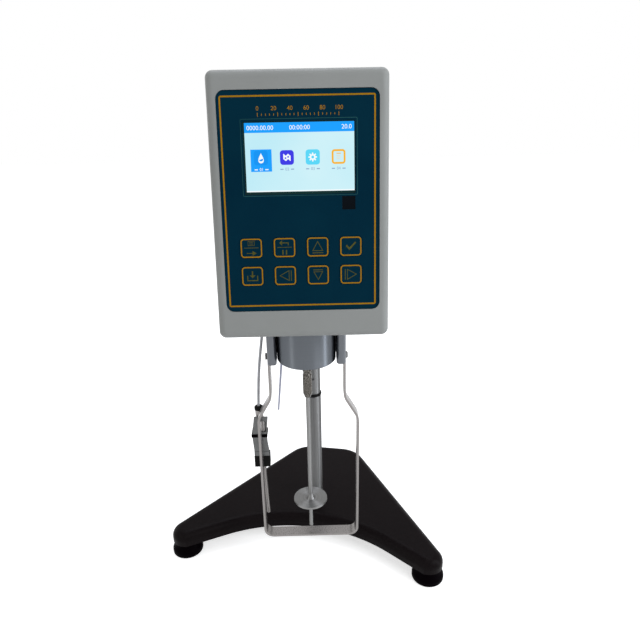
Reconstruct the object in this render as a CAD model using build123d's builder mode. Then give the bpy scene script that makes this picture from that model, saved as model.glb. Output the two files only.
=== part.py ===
"""Rotational viscometer: a measuring head on a rack column, over a three-footed cast base.

All lengths are in millimetres and +Z is up.  The table is Z = 0.  While the pieces are built,
X = Y = 0 is the axis of the spindle; at the end everything is moved so that the origin is the
middle of the footprint.  The head faces -Y.
"""
from build123d import *
import math
import os

os.makedirs("parts", exist_ok=True)

# ---------------------------------------------------------------- driving dimensions
# fits
RUN_FIT = 0.05          # radial clearance of a running or sliding fit
SEAT_FIT = 0.02         # radial clearance of a seated fit
PLAY = 0.3              # free space between pieces that must not touch

# base casting
BASE_TURN = -10.6       # the base is turned this far about the column, degrees
BASE_UNDER = 13.0       # height of the casting's underside
BASE_THICK = 12.5
BASE_EDGE_R = 8.0       # rounding of the top edge
REAR_HALF = 43.0        # half width of the rear lobe
REAR_REACH = 83.0       # rear edge, behind the column
REAR_R = 27.0
TIP_X = 108.6           # centre of a leg tip, beside the column
TIP_Y = 63.5            # centre of a leg tip, in front of the column
TIP_R = 12.3
FORK_REACH = 33.5       # front edge of the hub, in front of the column
FORK_R = 135.0          # concave arc between the legs
BASE_PLATE = 5.5        # casting wall over the hollow underside
BASE_RIM = 6.0          # casting wall round the hollow underside
COLUMN_BOSS_R = 17.0
FOOT_BOSS_R = 10.5

# levelling feet
FOOT_R = 13.5
FOOT_NECK_R = 8.6
FOOT_TOP = 12.2
STUD_R = 4.0
STUD_REACH = 9.0        # stud above the casting's underside
FOOT_TRAVEL = 5.0
REAR_FOOT_Y = 64.0      # rear foot, behind the column

# column
COLUMN_X = 4.0
COLUMN_Y = 71.4
LOWER_R = 6.8
UPPER_R = 6.4
RING_Z = 135.2          # underside of the black ring
RING_THICK = 2.8
RING_R = 7.4
COLUMN_TOP = 391.0
SPIGOT_R = 5.0
JOINT_R = 4.0           # spigot of the upper column in the lower one
JOINT_DEEP = 20.0
NUT_AF = 17.0
NUT_THICK = 7.0
NUT_ROOM = 1.25         # the nut's pocket, as a share of its width across flats
KEYWAY_W = 2.8
KEYWAY_DEEP = 1.3
KEYWAY_FROM = 151.0
CAP_R = 8.0
CAP_THICK = 5.0

# rack and pinion
MODULE = 1.0
PINION_TEETH = 12
RACK_W = 5.0
RACK_PITCH_Y = 7.5      # pitch line behind the column's axis
RACK_FLOOR_Y = 3.4      # floor of the groove behind the column's axis
RACK_FROM = 226.0
ADDENDUM = 0.85
DEDENDUM = 1.15
TOOTH_SHARE = 0.36      # tooth thickness at the pitch line, as a share of the pitch
PINION_W = 6.0
PINION_SHAFT_R = 2.5

# lift block
BLOCK_W = 40.0
BLOCK_FROM = 256.0
BLOCK_TALL = 50.0
BLOCK_BACK = 9.0        # block behind the pinion's axis
PINION_UP = 20.0        # pinion axis above the block's underside
LOCK_UP = 39.0          # lock screw axis above the block's underside
FLANGE_W = 66.0
FLANGE_TALL = 62.0
FLANGE_THICK = 8.0
FLANGE_SCREW_IN = 6.0   # screw centres from the flange's edges
SCREW_R = 2.0
SCREW_HEAD_R = 3.6
SCREW_HEAD = 3.0
SCREW_HEX_R = 1.7
COVER_THICK = 1.5
COVER_TALL = 24.0
COVER_SCREW_R = 1.7
KNOB_R = 15.0
KNOB_LONG = 14.0
LOCK_R = 3.0
LOCK_KNOB_R = 11.0
LOCK_KNOB_LONG = 12.0

# head housing
BOSS_BOTTOM = 206.0     # underside of the spindle boss
HEAD_X = -0.45          # middle of the housing
HEAD_UP = 39.3          # housing's underside above the boss's
HEAD_OVER = 10.8        # housing above the panel's upper edge
HEAD_WIDE = 108.2
HEAD_BACK = 45.0
FACE_LEAN = 9.27        # the face leans back, degrees
PANEL_Y = -51.4         # lower edge of the panel
PANEL_UP = 18.1         # lower edge of the panel above the housing's underside
HEAD_EDGE_R = 4.5
WALL = 2.6
PARTING = 24.0          # front shell, measured square to the face
SEAM = 0.5              # width and depth of the groove between the shells

# level, sockets, switch and cord exits, from the middle of the housing
VIAL_R = 8.0
VIAL_DEEP = 6.0
VIAL_Y = 14.0
SOCKET_DROP = 38.0      # middle of the sockets, under the housing's top
SWITCH_X = 34.0
SWITCH_W = 13.0
SWITCH_H = 19.0
SWITCH_RIM = 1.2
POWER_X = 6.0
POWER_R = 5.5
PORT_X = -24.0
PORT_W = 31.0
PORT_H = 12.5
LEAD_EXIT = (-30.8, 12.0)
GROMMET_R = 3.0
TAIL_AT = (-15.5, 25.0)
TAIL_END = (-24.4, 20.0, -56.0)
TAIL_W = 2.3

# panel, display and keys, measured on the face from the middle of the panel's lower edge
PANEL_W = 96.4
PANEL_H = 132.0
PANEL_R = 5.0
PANEL_RECESS = 1.4
PANEL_THICK = 0.8
WINDOW_W = 68.6
WINDOW_H = 44.0
WINDOW_X = 0.2
WINDOW_T = 93.0
LCD_EDGE = 3.0          # display frame behind the window, beyond its sides
GLASS_THICK = 1.1
LCD_THICK = 4.0
SPOT = 8.0              # small square window
SPOT_X = 29.4
SPOT_T = 66.2
KEY_W = 13.7
KEY_H = 12.3
KEY_R = 2.4
KEY_X = -0.3            # middle of the key field
KEY_ROWS = (39.8, 22.4)
KEY_PITCH_X = 20.45
KEY_GAP = 0.2
KEY_PROUD = 0.3
KEY_DEEP = 4.4          # key's inner end below the face
KEY_TRAVEL = 0.5
SWITCH_SPACE = 0.8
BOARD_EDGE = 6.5        # keypad board, beyond the keys
BOARD_POST_R = 2.0

# spindle boss, guard and spindle
BOSS_R = 21.78
BOSS_FLANGE_R = 27.0
BOSS_FLANGE = 5.0
SHAFT_R = 2.2
NUT_R = 3.5
NUT_TOP = -6.0          # coupling nut, from the boss's underside
NUT_END = -33.0
SPINDLE_R = 1.59
DISC_R = 13.65
DISC_THICK = 1.65
DISC_Z = -128.25        # top of the disc
SPINDLE_END = -156.9
GUARD_W = 10.0
GUARD_THICK = 1.8
GUARD_UP_X = 28.25
GUARD_LOW_X = 38.6
GUARD_END = -163.5
GUARD_TOP = 14.0
GUARD_KNEE_R = 14.0     # bends of the legs, to the middle of the strip
GUARD_CORNER_R = 6.8    # lower bends
GUARD_KNEE_FROM = -32.0
GUARD_KNEE_TO = -50.0
LUG_IN = 22.2
LUG_OUT = 29.2
LUG_HALF = 7.2
LUG_END = -3.0
GUARD_SCREW_Z = 1.8
GUARD_SCREW_HEAD_R = 2.6
GUARD_SCREW_HEAD = 1.7
WEB_FROM = 1.0          # web between lug and boss, above the boss's underside
WEB_BACK = 6.9          # front of the web, behind the spindle

# drive train inside the head
CHASSIS_UP = 27.0       # chassis plate above the boss flange
CHASSIS_THICK = 3.0
CHASSIS_W = 54.0
CHASSIS_D = 46.0
CHASSIS_R = 6.0
POST_SPACING = 34.0
POST_R = 3.5
MOTOR_R = 17.5
MOTOR_TALL = 38.0
DIAL_R = 16.0

# temperature probe and its clip
PROBE_X = -39.4         # at its top; the probe leans
PROBE_END_X = -36.3
PROBE_Y = 10.0
PROBE_TOP = -46.0
PROBE_END = -151.0
COLLAR = 3.0
SLEEVE_R = 3.15
SLEEVE_END = -69.5
ROD_R = 1.5
CLIP_X = (-37.8, -39.8, -38.6)      # middle of the clip at its top, pivot and pads
CLIP_HALF = (5.5, 5.8, 6.1)         # half width there
CLIP_TOP = -54.0
CLIP_PIVOT = -71.4
CLIP_BEND = -85.0
CLIP_PADS = -90.8
CLIP_END = -100.8
CLIP_THICK = 0.8
CLIP_WINDOW = (4.6, 10.0)
CLIP_WINDOW_AT = (1.4, -63.2)       # from the middle of the clip's top
CLIP_FLARE = 3.4                    # jaw's upper end leans back this far
JAW_TOP = -62.5
BAND_TALL = 2.6
BAND_WALL = 0.5
PIN_R = 0.6
LEAD_R = 1.1

# ---------------------------------------------------------------- worked-out places
BASE_TOP = BASE_UNDER + BASE_THICK
LEAN = math.radians(FACE_LEAN)
HEAD_BOTTOM = BOSS_BOTTOM + HEAD_UP
HEAD_TALL = PANEL_UP + PANEL_H * math.cos(LEAN) + HEAD_OVER
HEAD_TOP = HEAD_BOTTOM + HEAD_TALL
PITCH = math.pi * MODULE
PINION_R = MODULE * PINION_TEETH / 2
PINION_Y = COLUMN_Y + RACK_PITCH_Y + PINION_R
PINION_Z = BLOCK_FROM + PINION_UP
LOCK_Z = BLOCK_FROM + LOCK_UP
BLOCK_REAR = PINION_Y + BLOCK_BACK
FLANGE_REAR = HEAD_BACK + FLANGE_THICK
RING_TOP = RING_Z + RING_THICK
BOSS_INNER = HEAD_BOTTOM + WALL

stand = Plane(origin=(COLUMN_X, COLUMN_Y, 0), x_dir=(math.cos(math.radians(BASE_TURN)),
              math.sin(math.radians(BASE_TURN)), 0), z_dir=(0, 0, 1))
column = Plane(origin=(COLUMN_X, COLUMN_Y, 0))
face = Plane(origin=(HEAD_X, PANEL_Y, HEAD_BOTTOM + PANEL_UP), x_dir=(1, 0, 0),
             z_dir=(0, -math.cos(LEAN), math.sin(LEAN)))
pieces = {}


def keep(name, part):
    """Label a finished piece and put it on the list."""
    part.label = name
    pieces[name] = part


def at(height):
    """A level plane on the spindle's axis, at a height from the boss's underside."""
    return Plane.XY.offset(BOSS_BOTTOM + height)


# ---------------------------------------------------------------- base casting
FEET = {"left": (-TIP_X, -TIP_Y), "right": (TIP_X, -TIP_Y), "rear": (0, REAR_FOOT_Y)}


def base_outline(inset):
    """Outline of the casting, this far inside its edge: a rear lobe and two straight legs."""
    tip = Vector(TIP_X, -TIP_Y)
    fork = Vector(0, -FORK_REACH - FORK_R)
    tip_r = TIP_R - inset
    fork_r = FORK_R + inset
    lobe = (REAR_HALF - REAR_R, REAR_REACH - REAR_R)
    with Locations(lobe, (-lobe[0], lobe[1])):
        Circle(REAR_R - inset)
    with Locations((TIP_X, -TIP_Y), (-TIP_X, -TIP_Y)):
        Circle(tip_r)
    make_hull()
    # the front is cut back to the lines that touch both the tips and the concave arc
    span = fork - tip
    angle = math.atan2(span.Y, span.X) + math.acos((tip_r + fork_r) / span.length)
    normal = Vector(math.cos(angle), math.sin(angle))
    root = fork - normal * fork_r
    beyond = root + (tip + normal * tip_r - root) * 2
    Polygon((root.X, root.Y), (beyond.X, beyond.Y), (-beyond.X, beyond.Y), (-root.X, root.Y),
            align=None, mode=Mode.SUBTRACT)
    with Locations((fork.X, fork.Y)):
        Circle(fork_r, mode=Mode.SUBTRACT)


with BuildPart() as base_casting:
    with BuildSketch(stand.offset(BASE_UNDER)):
        base_outline(0)
    extrude(amount=BASE_THICK)
    fillet(base_casting.faces().sort_by(Axis.Z)[-1].edges(), radius=BASE_EDGE_R)
    with BuildSketch(stand.offset(BASE_UNDER)):
        base_outline(BASE_RIM)
        Circle(COLUMN_BOSS_R, mode=Mode.SUBTRACT)
        with Locations(*FEET.values()):
            Circle(FOOT_BOSS_R, mode=Mode.SUBTRACT)
    extrude(amount=BASE_THICK - BASE_PLATE, mode=Mode.SUBTRACT)
    with BuildSketch(stand.offset(BASE_UNDER)):
        with Locations(*FEET.values()):
            Circle(STUD_R + RUN_FIT)
    extrude(amount=STUD_REACH + PLAY, mode=Mode.SUBTRACT)
    with BuildSketch(stand.offset(BASE_UNDER)):
        Circle(SPIGOT_R + SEAT_FIT)
    extrude(amount=BASE_THICK, mode=Mode.SUBTRACT)
    with BuildSketch(stand.offset(BASE_UNDER)):
        Circle(NUT_AF / 2 * NUT_ROOM)
    extrude(amount=NUT_THICK, mode=Mode.SUBTRACT)
keep("base_casting", base_casting.part)

# levelling feet: a moulded bell on a steel stud, screwed up into the casting
for side, (foot_x, foot_y) in FEET.items():
    foot_plane = Plane(origin=stand.from_local_coords((foot_x, foot_y, 0)))
    foot_section = Plane(origin=foot_plane.origin, x_dir=(1, 0, 0), z_dir=(0, -1, 0))
    with BuildPart() as foot:
        with BuildSketch(foot_section):
            with BuildLine():
                Polyline((0, FOOT_TOP), (0, 0), (FOOT_R - 1.5, 0))
                RadiusArc((FOOT_R - 1.5, 0), (FOOT_R, 1.5), -1.5)
                Line((FOOT_R, 1.5), (FOOT_R, 3.5))
                Spline((FOOT_R, 3.5), (FOOT_R - 2.0, 7.6), (FOOT_NECK_R, FOOT_TOP),
                       tangents=((0, 1), (-1, 0.6)))
                Line((FOOT_NECK_R, FOOT_TOP), (0, FOOT_TOP))
            make_face()
        revolve(axis=Axis(foot_plane.origin, (0, 0, 1)))
        with BuildSketch(foot_plane.offset(FOOT_TOP)):
            Circle(STUD_R)
        extrude(amount=BASE_UNDER + STUD_REACH - FOOT_TOP)
        chamfer(foot.edges().sort_by(Axis.Z)[-1], length=0.6)
    keep(f"foot_{side}", foot.part)

# ---------------------------------------------------------------- column
with BuildPart() as column_lower:
    with BuildSketch(column.offset(BASE_UNDER + PLAY)):
        Circle(SPIGOT_R)
    extrude(amount=BASE_TOP - BASE_UNDER - PLAY)
    with BuildSketch(column.offset(BASE_TOP)):
        Circle(LOWER_R)
    extrude(amount=RING_Z - BASE_TOP)
    chamfer(column_lower.edges().group_by(Axis.Z)[-1], length=0.4)
    with BuildSketch(column.offset(RING_Z)):
        Circle(JOINT_R + SEAT_FIT)
    extrude(amount=-JOINT_DEEP - PLAY, mode=Mode.SUBTRACT)
keep("column_lower", column_lower.part)

with BuildPart() as column_nut:
    with BuildSketch(column.offset(BASE_UNDER + PLAY)):
        RegularPolygon(NUT_AF / 2, 6, major_radius=False)
        Circle(SPIGOT_R + SEAT_FIT, mode=Mode.SUBTRACT)
    extrude(amount=NUT_THICK - PLAY)
keep("column_nut", column_nut.part)

with BuildPart() as column_ring:
    with BuildSketch(column.offset(RING_Z)):
        Circle(RING_R)
        Circle(JOINT_R + SEAT_FIT, mode=Mode.SUBTRACT)
    extrude(amount=RING_THICK)
    fillet(column_ring.edges().filter_by(GeomType.CIRCLE).sort_by(SortBy.RADIUS)[-2:], radius=0.9)
keep("column_ring", column_ring.part)

with BuildPart() as column_upper:
    with BuildSketch(column.offset(RING_Z - JOINT_DEEP)):
        Circle(JOINT_R)
    extrude(amount=JOINT_DEEP + RING_THICK)
    with BuildSketch(column.offset(RING_TOP)):
        Circle(UPPER_R)
    extrude(amount=COLUMN_TOP - RING_TOP)
    with BuildSketch(column.offset(RACK_FROM)):
        with Locations((0, RACK_FLOOR_Y + UPPER_R / 2)):
            Rectangle(RACK_W + 2 * SEAT_FIT, UPPER_R)
    extrude(amount=COLUMN_TOP - RACK_FROM, mode=Mode.SUBTRACT)
    with BuildSketch(Plane(origin=(COLUMN_X, COLUMN_Y - UPPER_R, 0), x_dir=(1, 0, 0), z_dir=(0, -1, 0))):
        with Locations((0, (KEYWAY_FROM + COLUMN_TOP) / 2 + KEYWAY_W)):
            SlotCenterToCenter(COLUMN_TOP - KEYWAY_FROM, KEYWAY_W, rotation=90)
    extrude(amount=-KEYWAY_DEEP, mode=Mode.SUBTRACT)
keep("column_upper", column_upper.part)

# rack: trapezoid teeth on a bar let into the back of the column
tooth_half = TOOTH_SHARE * PITCH / 2
flank = math.tan(math.radians(20))
tip_half = tooth_half - ADDENDUM * flank
foot_half = tooth_half + DEDENDUM * flank
teeth_from = math.ceil((RACK_FROM + PITCH - PINION_Z) / PITCH)
teeth_to = math.floor((COLUMN_TOP - PITCH - PINION_Z) / PITCH)
with BuildPart() as column_rack:
    with BuildSketch(Plane.YZ.offset(COLUMN_X - RACK_W / 2)):
        root_y = COLUMN_Y + RACK_PITCH_Y - DEDENDUM
        crest_y = COLUMN_Y + RACK_PITCH_Y + ADDENDUM
        with BuildLine():
            line = [(COLUMN_Y + RACK_FLOOR_Y, RACK_FROM), (root_y, RACK_FROM)]
            for tooth in range(teeth_from, teeth_to + 1):
                middle = PINION_Z + tooth * PITCH
                line += [(root_y, middle - foot_half), (crest_y, middle - tip_half),
                         (crest_y, middle + tip_half), (root_y, middle + foot_half)]
            line += [(root_y, COLUMN_TOP), (COLUMN_Y + RACK_FLOOR_Y, COLUMN_TOP)]
            Polyline(*line, close=True)
        make_face()
    extrude(amount=RACK_W)
keep("column_rack", column_rack.part)

with BuildPart() as column_cap:
    with BuildSketch(column.offset(COLUMN_TOP)):
        Circle(CAP_R)
    extrude(amount=CAP_THICK)
    fillet(column_cap.edges().sort_by(Axis.Z)[-1], radius=1.5)
    fillet(column_cap.edges().sort_by(Axis.Z)[0], radius=0.4)
keep("column_cap", column_cap.part)

# ---------------------------------------------------------------- lift block, pinion and knobs
pinion_axis = Plane(origin=(COLUMN_X, PINION_Y, PINION_Z), x_dir=(0, 1, 0), z_dir=(1, 0, 0))
lock_axis = Plane(origin=(COLUMN_X, COLUMN_Y, LOCK_Z), x_dir=(0, -1, 0), z_dir=(-1, 0, 0))
flange_plane = Plane(origin=(COLUMN_X, FLANGE_REAR, BLOCK_FROM + BLOCK_TALL / 2),
                     x_dir=(1, 0, 0), z_dir=(0, -1, 0))
cover_plane = Plane(origin=(COLUMN_X, BLOCK_REAR, PINION_Z), x_dir=(-1, 0, 0), z_dir=(0, 1, 0))
screw_spots = GridLocations(FLANGE_W - 2 * FLANGE_SCREW_IN, FLANGE_TALL - 2 * FLANGE_SCREW_IN, 2, 2)
with BuildPart() as lift_block:
    with BuildSketch(flange_plane):
        RectangleRounded(FLANGE_W, FLANGE_TALL, 5)
    extrude(amount=FLANGE_THICK)
    with BuildSketch(column.offset(BLOCK_FROM)):
        with Locations((0, (FLANGE_REAR + BLOCK_REAR) / 2 - COLUMN_Y)):
            Rectangle(BLOCK_W, BLOCK_REAR - FLANGE_REAR)
    extrude(amount=BLOCK_TALL)
    fillet(lift_block.edges().filter_by(Axis.Z).sort_by(Axis.Y)[-2:], radius=4)
    with BuildSketch(column.offset(BLOCK_FROM)):
        Circle(UPPER_R + RUN_FIT)
        with Locations((0, (RACK_PITCH_Y + ADDENDUM + PLAY) / 2)):
            Rectangle(RACK_W + 2 * PLAY, RACK_PITCH_Y + ADDENDUM + PLAY)
    extrude(amount=BLOCK_TALL, mode=Mode.SUBTRACT)
    with BuildSketch(column.offset(BLOCK_FROM)):
        with Locations((0, -UPPER_R + KEYWAY_DEEP / 2 - PLAY)):
            Rectangle(KEYWAY_W - 2 * PLAY, KEYWAY_DEEP)
    extrude(amount=BLOCK_TALL)
    with BuildSketch(cover_plane):
        Rectangle(PINION_W + 1, 2 * (PINION_R + ADDENDUM + 0.7))
    extrude(amount=-(BLOCK_REAR - COLUMN_Y - UPPER_R), mode=Mode.SUBTRACT)
    with BuildSketch(pinion_axis.offset(-BLOCK_W / 2 + 4)):
        Circle(PINION_SHAFT_R + RUN_FIT)
    extrude(amount=BLOCK_W, mode=Mode.SUBTRACT)
    with BuildSketch(lock_axis):
        Circle(LOCK_R + RUN_FIT)
    extrude(amount=BLOCK_W, mode=Mode.SUBTRACT)
    with BuildSketch(flange_plane):
        with screw_spots:
            Circle(SCREW_R + 0.2)
    extrude(amount=FLANGE_THICK, mode=Mode.SUBTRACT)
keep("lift_block", lift_block.part)

with BuildPart() as flange_screws:
    with BuildSketch(flange_plane):
        with screw_spots:
            Circle(SCREW_HEAD_R)
    extrude(amount=-SCREW_HEAD)
    with BuildSketch(flange_plane):
        with screw_spots:
            Circle(SCREW_R)
    extrude(amount=FLANGE_THICK + 2 * WALL)
    with BuildSketch(flange_plane.offset(-SCREW_HEAD)):
        with screw_spots:
            RegularPolygon(SCREW_HEX_R, 6)
    extrude(amount=0.6 * SCREW_HEAD, mode=Mode.SUBTRACT)
keep("flange_screws", flange_screws.part)

with BuildPart() as pinion_cover:
    with BuildSketch(cover_plane):
        RectangleRounded(BLOCK_W - 12, COVER_TALL, 2)
    extrude(amount=COVER_THICK)
    with BuildSketch(cover_plane.offset(COVER_THICK)):
        with GridLocations(BLOCK_W - 18, COVER_TALL - 7, 2, 2):
            Circle(COVER_SCREW_R)
    extrude(amount=0.9)
keep("pinion_cover", pinion_cover.part)

with BuildPart() as pinion:
    with BuildSketch(pinion_axis.offset(-PINION_W / 2)):
        Circle(PINION_R - DEDENDUM)
        with PolarLocations(0, PINION_TEETH, start_angle=180 / PINION_TEETH):
            Polygon((PINION_R - DEDENDUM - 0.5, -foot_half), (PINION_R, -tooth_half),
                    (PINION_R + ADDENDUM, -tip_half * 0.8), (PINION_R + ADDENDUM, tip_half * 0.8),
                    (PINION_R, tooth_half), (PINION_R - DEDENDUM - 0.5, foot_half), align=None)
    extrude(amount=PINION_W)
    with BuildSketch(pinion_axis.offset(-BLOCK_W / 2 + 4 + PLAY)):
        Circle(PINION_SHAFT_R)
    extrude(amount=BLOCK_W - 4 + KNOB_LONG - 2 * PLAY)
keep("pinion", pinion.part)

with BuildPart() as lift_knob:
    with BuildSketch(pinion_axis.offset(BLOCK_W / 2 + 1)):
        Circle(KNOB_R)
        with PolarLocations(KNOB_R + 2.2, 18):
            Circle(3.0, mode=Mode.SUBTRACT)
    extrude(amount=KNOB_LONG)
    with BuildSketch(pinion_axis.offset(BLOCK_W / 2 + 1)):
        Circle(PINION_SHAFT_R + SEAT_FIT)
    extrude(amount=KNOB_LONG - 1, mode=Mode.SUBTRACT)
    with BuildSketch(pinion_axis.offset(BLOCK_W / 2 + 1 + KNOB_LONG)):
        Circle(KNOB_R - 5)
    extrude(amount=-0.8, mode=Mode.SUBTRACT)
keep("lift_knob", lift_knob.part)

with BuildPart() as lock_screw:
    with BuildSketch(lock_axis.offset(UPPER_R + PLAY)):
        Circle(LOCK_R)
    extrude(amount=BLOCK_W / 2 - UPPER_R + LOCK_KNOB_LONG - 2)
keep("lock_screw", lock_screw.part)

with BuildPart() as lock_knob:
    with BuildSketch(lock_axis.offset(BLOCK_W / 2 + 2)):
        Circle(LOCK_KNOB_R)
        with PolarLocations(LOCK_KNOB_R + 2.0, 12):
            Circle(3.2, mode=Mode.SUBTRACT)
    extrude(amount=LOCK_KNOB_LONG)
    with BuildSketch(lock_axis.offset(BLOCK_W / 2 + 1)):
        Circle(5)
    extrude(amount=1)
    with BuildSketch(lock_axis.offset(BLOCK_W / 2 + 1)):
        Circle(LOCK_R + SEAT_FIT)
    extrude(amount=LOCK_KNOB_LONG - 2, mode=Mode.SUBTRACT)
keep("lock_knob", lock_knob.part)

# ---------------------------------------------------------------- head housing
def housing(inset, radius):
    """The housing's rounded block, this far inside its outer faces."""
    back_rise = HEAD_TALL - PANEL_UP
    with BuildPart() as block:
        with BuildSketch(Plane.YZ.offset(HEAD_X)):
            with BuildLine():
                Polyline((PANEL_Y - PANEL_UP * math.tan(LEAN), HEAD_BOTTOM),
                         (PANEL_Y + back_rise * math.tan(LEAN), HEAD_TOP),
                         (HEAD_BACK, HEAD_TOP), (HEAD_BACK, HEAD_BOTTOM), close=True)
            make_face()
            if inset:
                offset(amount=-inset, kind=Kind.INTERSECTION)
        extrude(amount=HEAD_WIDE / 2 - inset, both=True)
        fillet(block.edges(), radius=radius)
    return block.part


parting = face.offset(-PARTING)
key_spots = [(KEY_X + (place - 1.5) * KEY_PITCH_X, row) for row in KEY_ROWS for place in range(4)]
shell_back = -PANEL_RECESS - WALL

with BuildPart() as front_shell:
    add(housing(0, HEAD_EDGE_R))
    split(bisect_by=parting, keep=Keep.TOP)
    add(housing(WALL, HEAD_EDGE_R - WALL), mode=Mode.SUBTRACT)
    with BuildSketch(face.offset(-WALL)):
        with Locations((0, PANEL_H / 2)):
            RectangleRounded(PANEL_W + 2 * WALL, PANEL_H + 2 * WALL, PANEL_R)
    extrude(amount=-PANEL_RECESS)
    with BuildSketch(face):
        with Locations((0, PANEL_H / 2)):
            RectangleRounded(PANEL_W, PANEL_H, PANEL_R)
    extrude(amount=-PANEL_RECESS, mode=Mode.SUBTRACT)
    with BuildSketch(face):
        with Locations((WINDOW_X, WINDOW_T)):
            Rectangle(WINDOW_W, WINDOW_H)
        with Locations((SPOT_X, SPOT_T)):
            Rectangle(SPOT - 2, SPOT - 2)
        with Locations(*key_spots):
            RectangleRounded(KEY_W + 2 * KEY_GAP, KEY_H + 2 * KEY_GAP, KEY_R + KEY_GAP)
    extrude(amount=2 * shell_back, mode=Mode.SUBTRACT)
keep("front_shell", front_shell.part)

# a shallow groove runs round the housing where the shells meet
with BuildPart() as seam:
    add(housing(0, HEAD_EDGE_R))
    split(bisect_by=parting, keep=Keep.BOTTOM)
    split(bisect_by=parting.offset(-SEAM), keep=Keep.TOP)
    add(housing(SEAM, HEAD_EDGE_R - SEAM), mode=Mode.SUBTRACT)

vial = Plane(origin=(HEAD_X, VIAL_Y, HEAD_TOP))
back_wall = Plane(origin=(HEAD_X, HEAD_BACK, HEAD_TOP), x_dir=(-1, 0, 0), z_dir=(0, 1, 0))
SWITCH_AT = (SWITCH_X, -SOCKET_DROP)
POWER_AT = (POWER_X, -SOCKET_DROP)
PORT_AT = (PORT_X, -SOCKET_DROP)
with BuildPart() as rear_shell:
    add(housing(0, HEAD_EDGE_R))
    split(bisect_by=parting, keep=Keep.BOTTOM)
    add(seam.part, mode=Mode.SUBTRACT)
    add(housing(WALL, HEAD_EDGE_R - WALL), mode=Mode.SUBTRACT)
    with BuildSketch(vial):
        Circle(VIAL_R + 2)
    extrude(amount=-VIAL_DEEP - 1.5)
    with BuildSketch(vial):
        Circle(VIAL_R + SEAT_FIT)
    extrude(amount=-VIAL_DEEP, mode=Mode.SUBTRACT)
    with BuildSketch(Plane.XY.offset(HEAD_BOTTOM)):
        Circle(BOSS_R + SEAT_FIT)
        with Locations(LEAD_EXIT):
            Circle(GROMMET_R + SEAT_FIT)
    extrude(amount=WALL, mode=Mode.SUBTRACT)
    with BuildSketch(back_wall):
        with Locations(SWITCH_AT):
            Rectangle(SWITCH_W, SWITCH_H)
        with Locations(POWER_AT):
            Circle(POWER_R + SEAT_FIT)
        with Locations(PORT_AT):
            Rectangle(PORT_W - 6, PORT_H - 2)
    extrude(amount=-WALL, mode=Mode.SUBTRACT)
    with BuildSketch(flange_plane.offset(FLANGE_THICK)):
        with screw_spots:
            Circle(SCREW_R + SEAT_FIT)
    extrude(amount=WALL, mode=Mode.SUBTRACT)
keep("rear_shell", rear_shell.part)

with BuildPart() as level_vial:
    with BuildSketch(vial.offset(-VIAL_DEEP)):
        Circle(VIAL_R)
    extrude(amount=VIAL_DEEP - 0.3)
    with BuildSketch(vial.offset(-0.3)):
        Circle(VIAL_R - 1.6)
    extrude(amount=-0.8, mode=Mode.SUBTRACT)
keep("level_vial", level_vial.part)

with BuildPart() as front_panel:
    with BuildSketch(face.offset(-PANEL_RECESS)):
        with Locations((0, PANEL_H / 2)):
            RectangleRounded(PANEL_W - 0.2, PANEL_H - 0.2, PANEL_R)
        with Locations((WINDOW_X, WINDOW_T)):
            RectangleRounded(WINDOW_W - 1.6, WINDOW_H - 1.6, 0.8, mode=Mode.SUBTRACT)
        with Locations((SPOT_X, SPOT_T)):
            Rectangle(SPOT, SPOT, mode=Mode.SUBTRACT)
        with Locations(*key_spots):
            RectangleRounded(KEY_W + 2 * KEY_GAP, KEY_H + 2 * KEY_GAP, KEY_R + KEY_GAP, mode=Mode.SUBTRACT)
    extrude(amount=PANEL_THICK)
keep("front_panel", front_panel.part)

with BuildPart() as spot_window:
    with BuildSketch(face.offset(-PANEL_RECESS)):
        with Locations((SPOT_X, SPOT_T)):
            Rectangle(SPOT - 0.1, SPOT - 0.1)
    extrude(amount=PANEL_THICK - 0.1)
keep("spot_window", spot_window.part)

with BuildPart() as display_glass:
    with BuildSketch(face.offset(-PANEL_RECESS)):
        with Locations((WINDOW_X, WINDOW_T)):
            Rectangle(WINDOW_W - 0.3, WINDOW_H - 0.3)
    extrude(amount=-GLASS_THICK)
keep("display_glass", display_glass.part)

with BuildPart() as display_module:
    with BuildSketch(face.offset(-PANEL_RECESS - GLASS_THICK)):
        with Locations((WINDOW_X, WINDOW_T)):
            Rectangle(WINDOW_W - 0.3, WINDOW_H - 0.3)
    extrude(amount=shell_back + PANEL_RECESS + GLASS_THICK)
    with BuildSketch(face.offset(shell_back)):
        with Locations((WINDOW_X, WINDOW_T)):
            Rectangle(WINDOW_W + 2 * LCD_EDGE, WINDOW_H + 2 * LCD_EDGE)
    extrude(amount=-LCD_THICK)
keep("display_module", display_module.part)

# keys: stiff caps that slide in the front shell and press switches on the board behind
for number, spot in enumerate(key_spots, start=1):
    with BuildPart() as key:
        with BuildSketch(face.offset(-KEY_DEEP)):
            with Locations(spot):
                RectangleRounded(KEY_W, KEY_H, KEY_R)
        extrude(amount=KEY_DEEP - PANEL_RECESS + PANEL_THICK + KEY_PROUD)
        fillet(key.faces().sort_by(Axis((0, 0, 0), face.z_dir))[-1].edges(), radius=0.25)
    keep(f"key_{number}", key.part)

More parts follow.
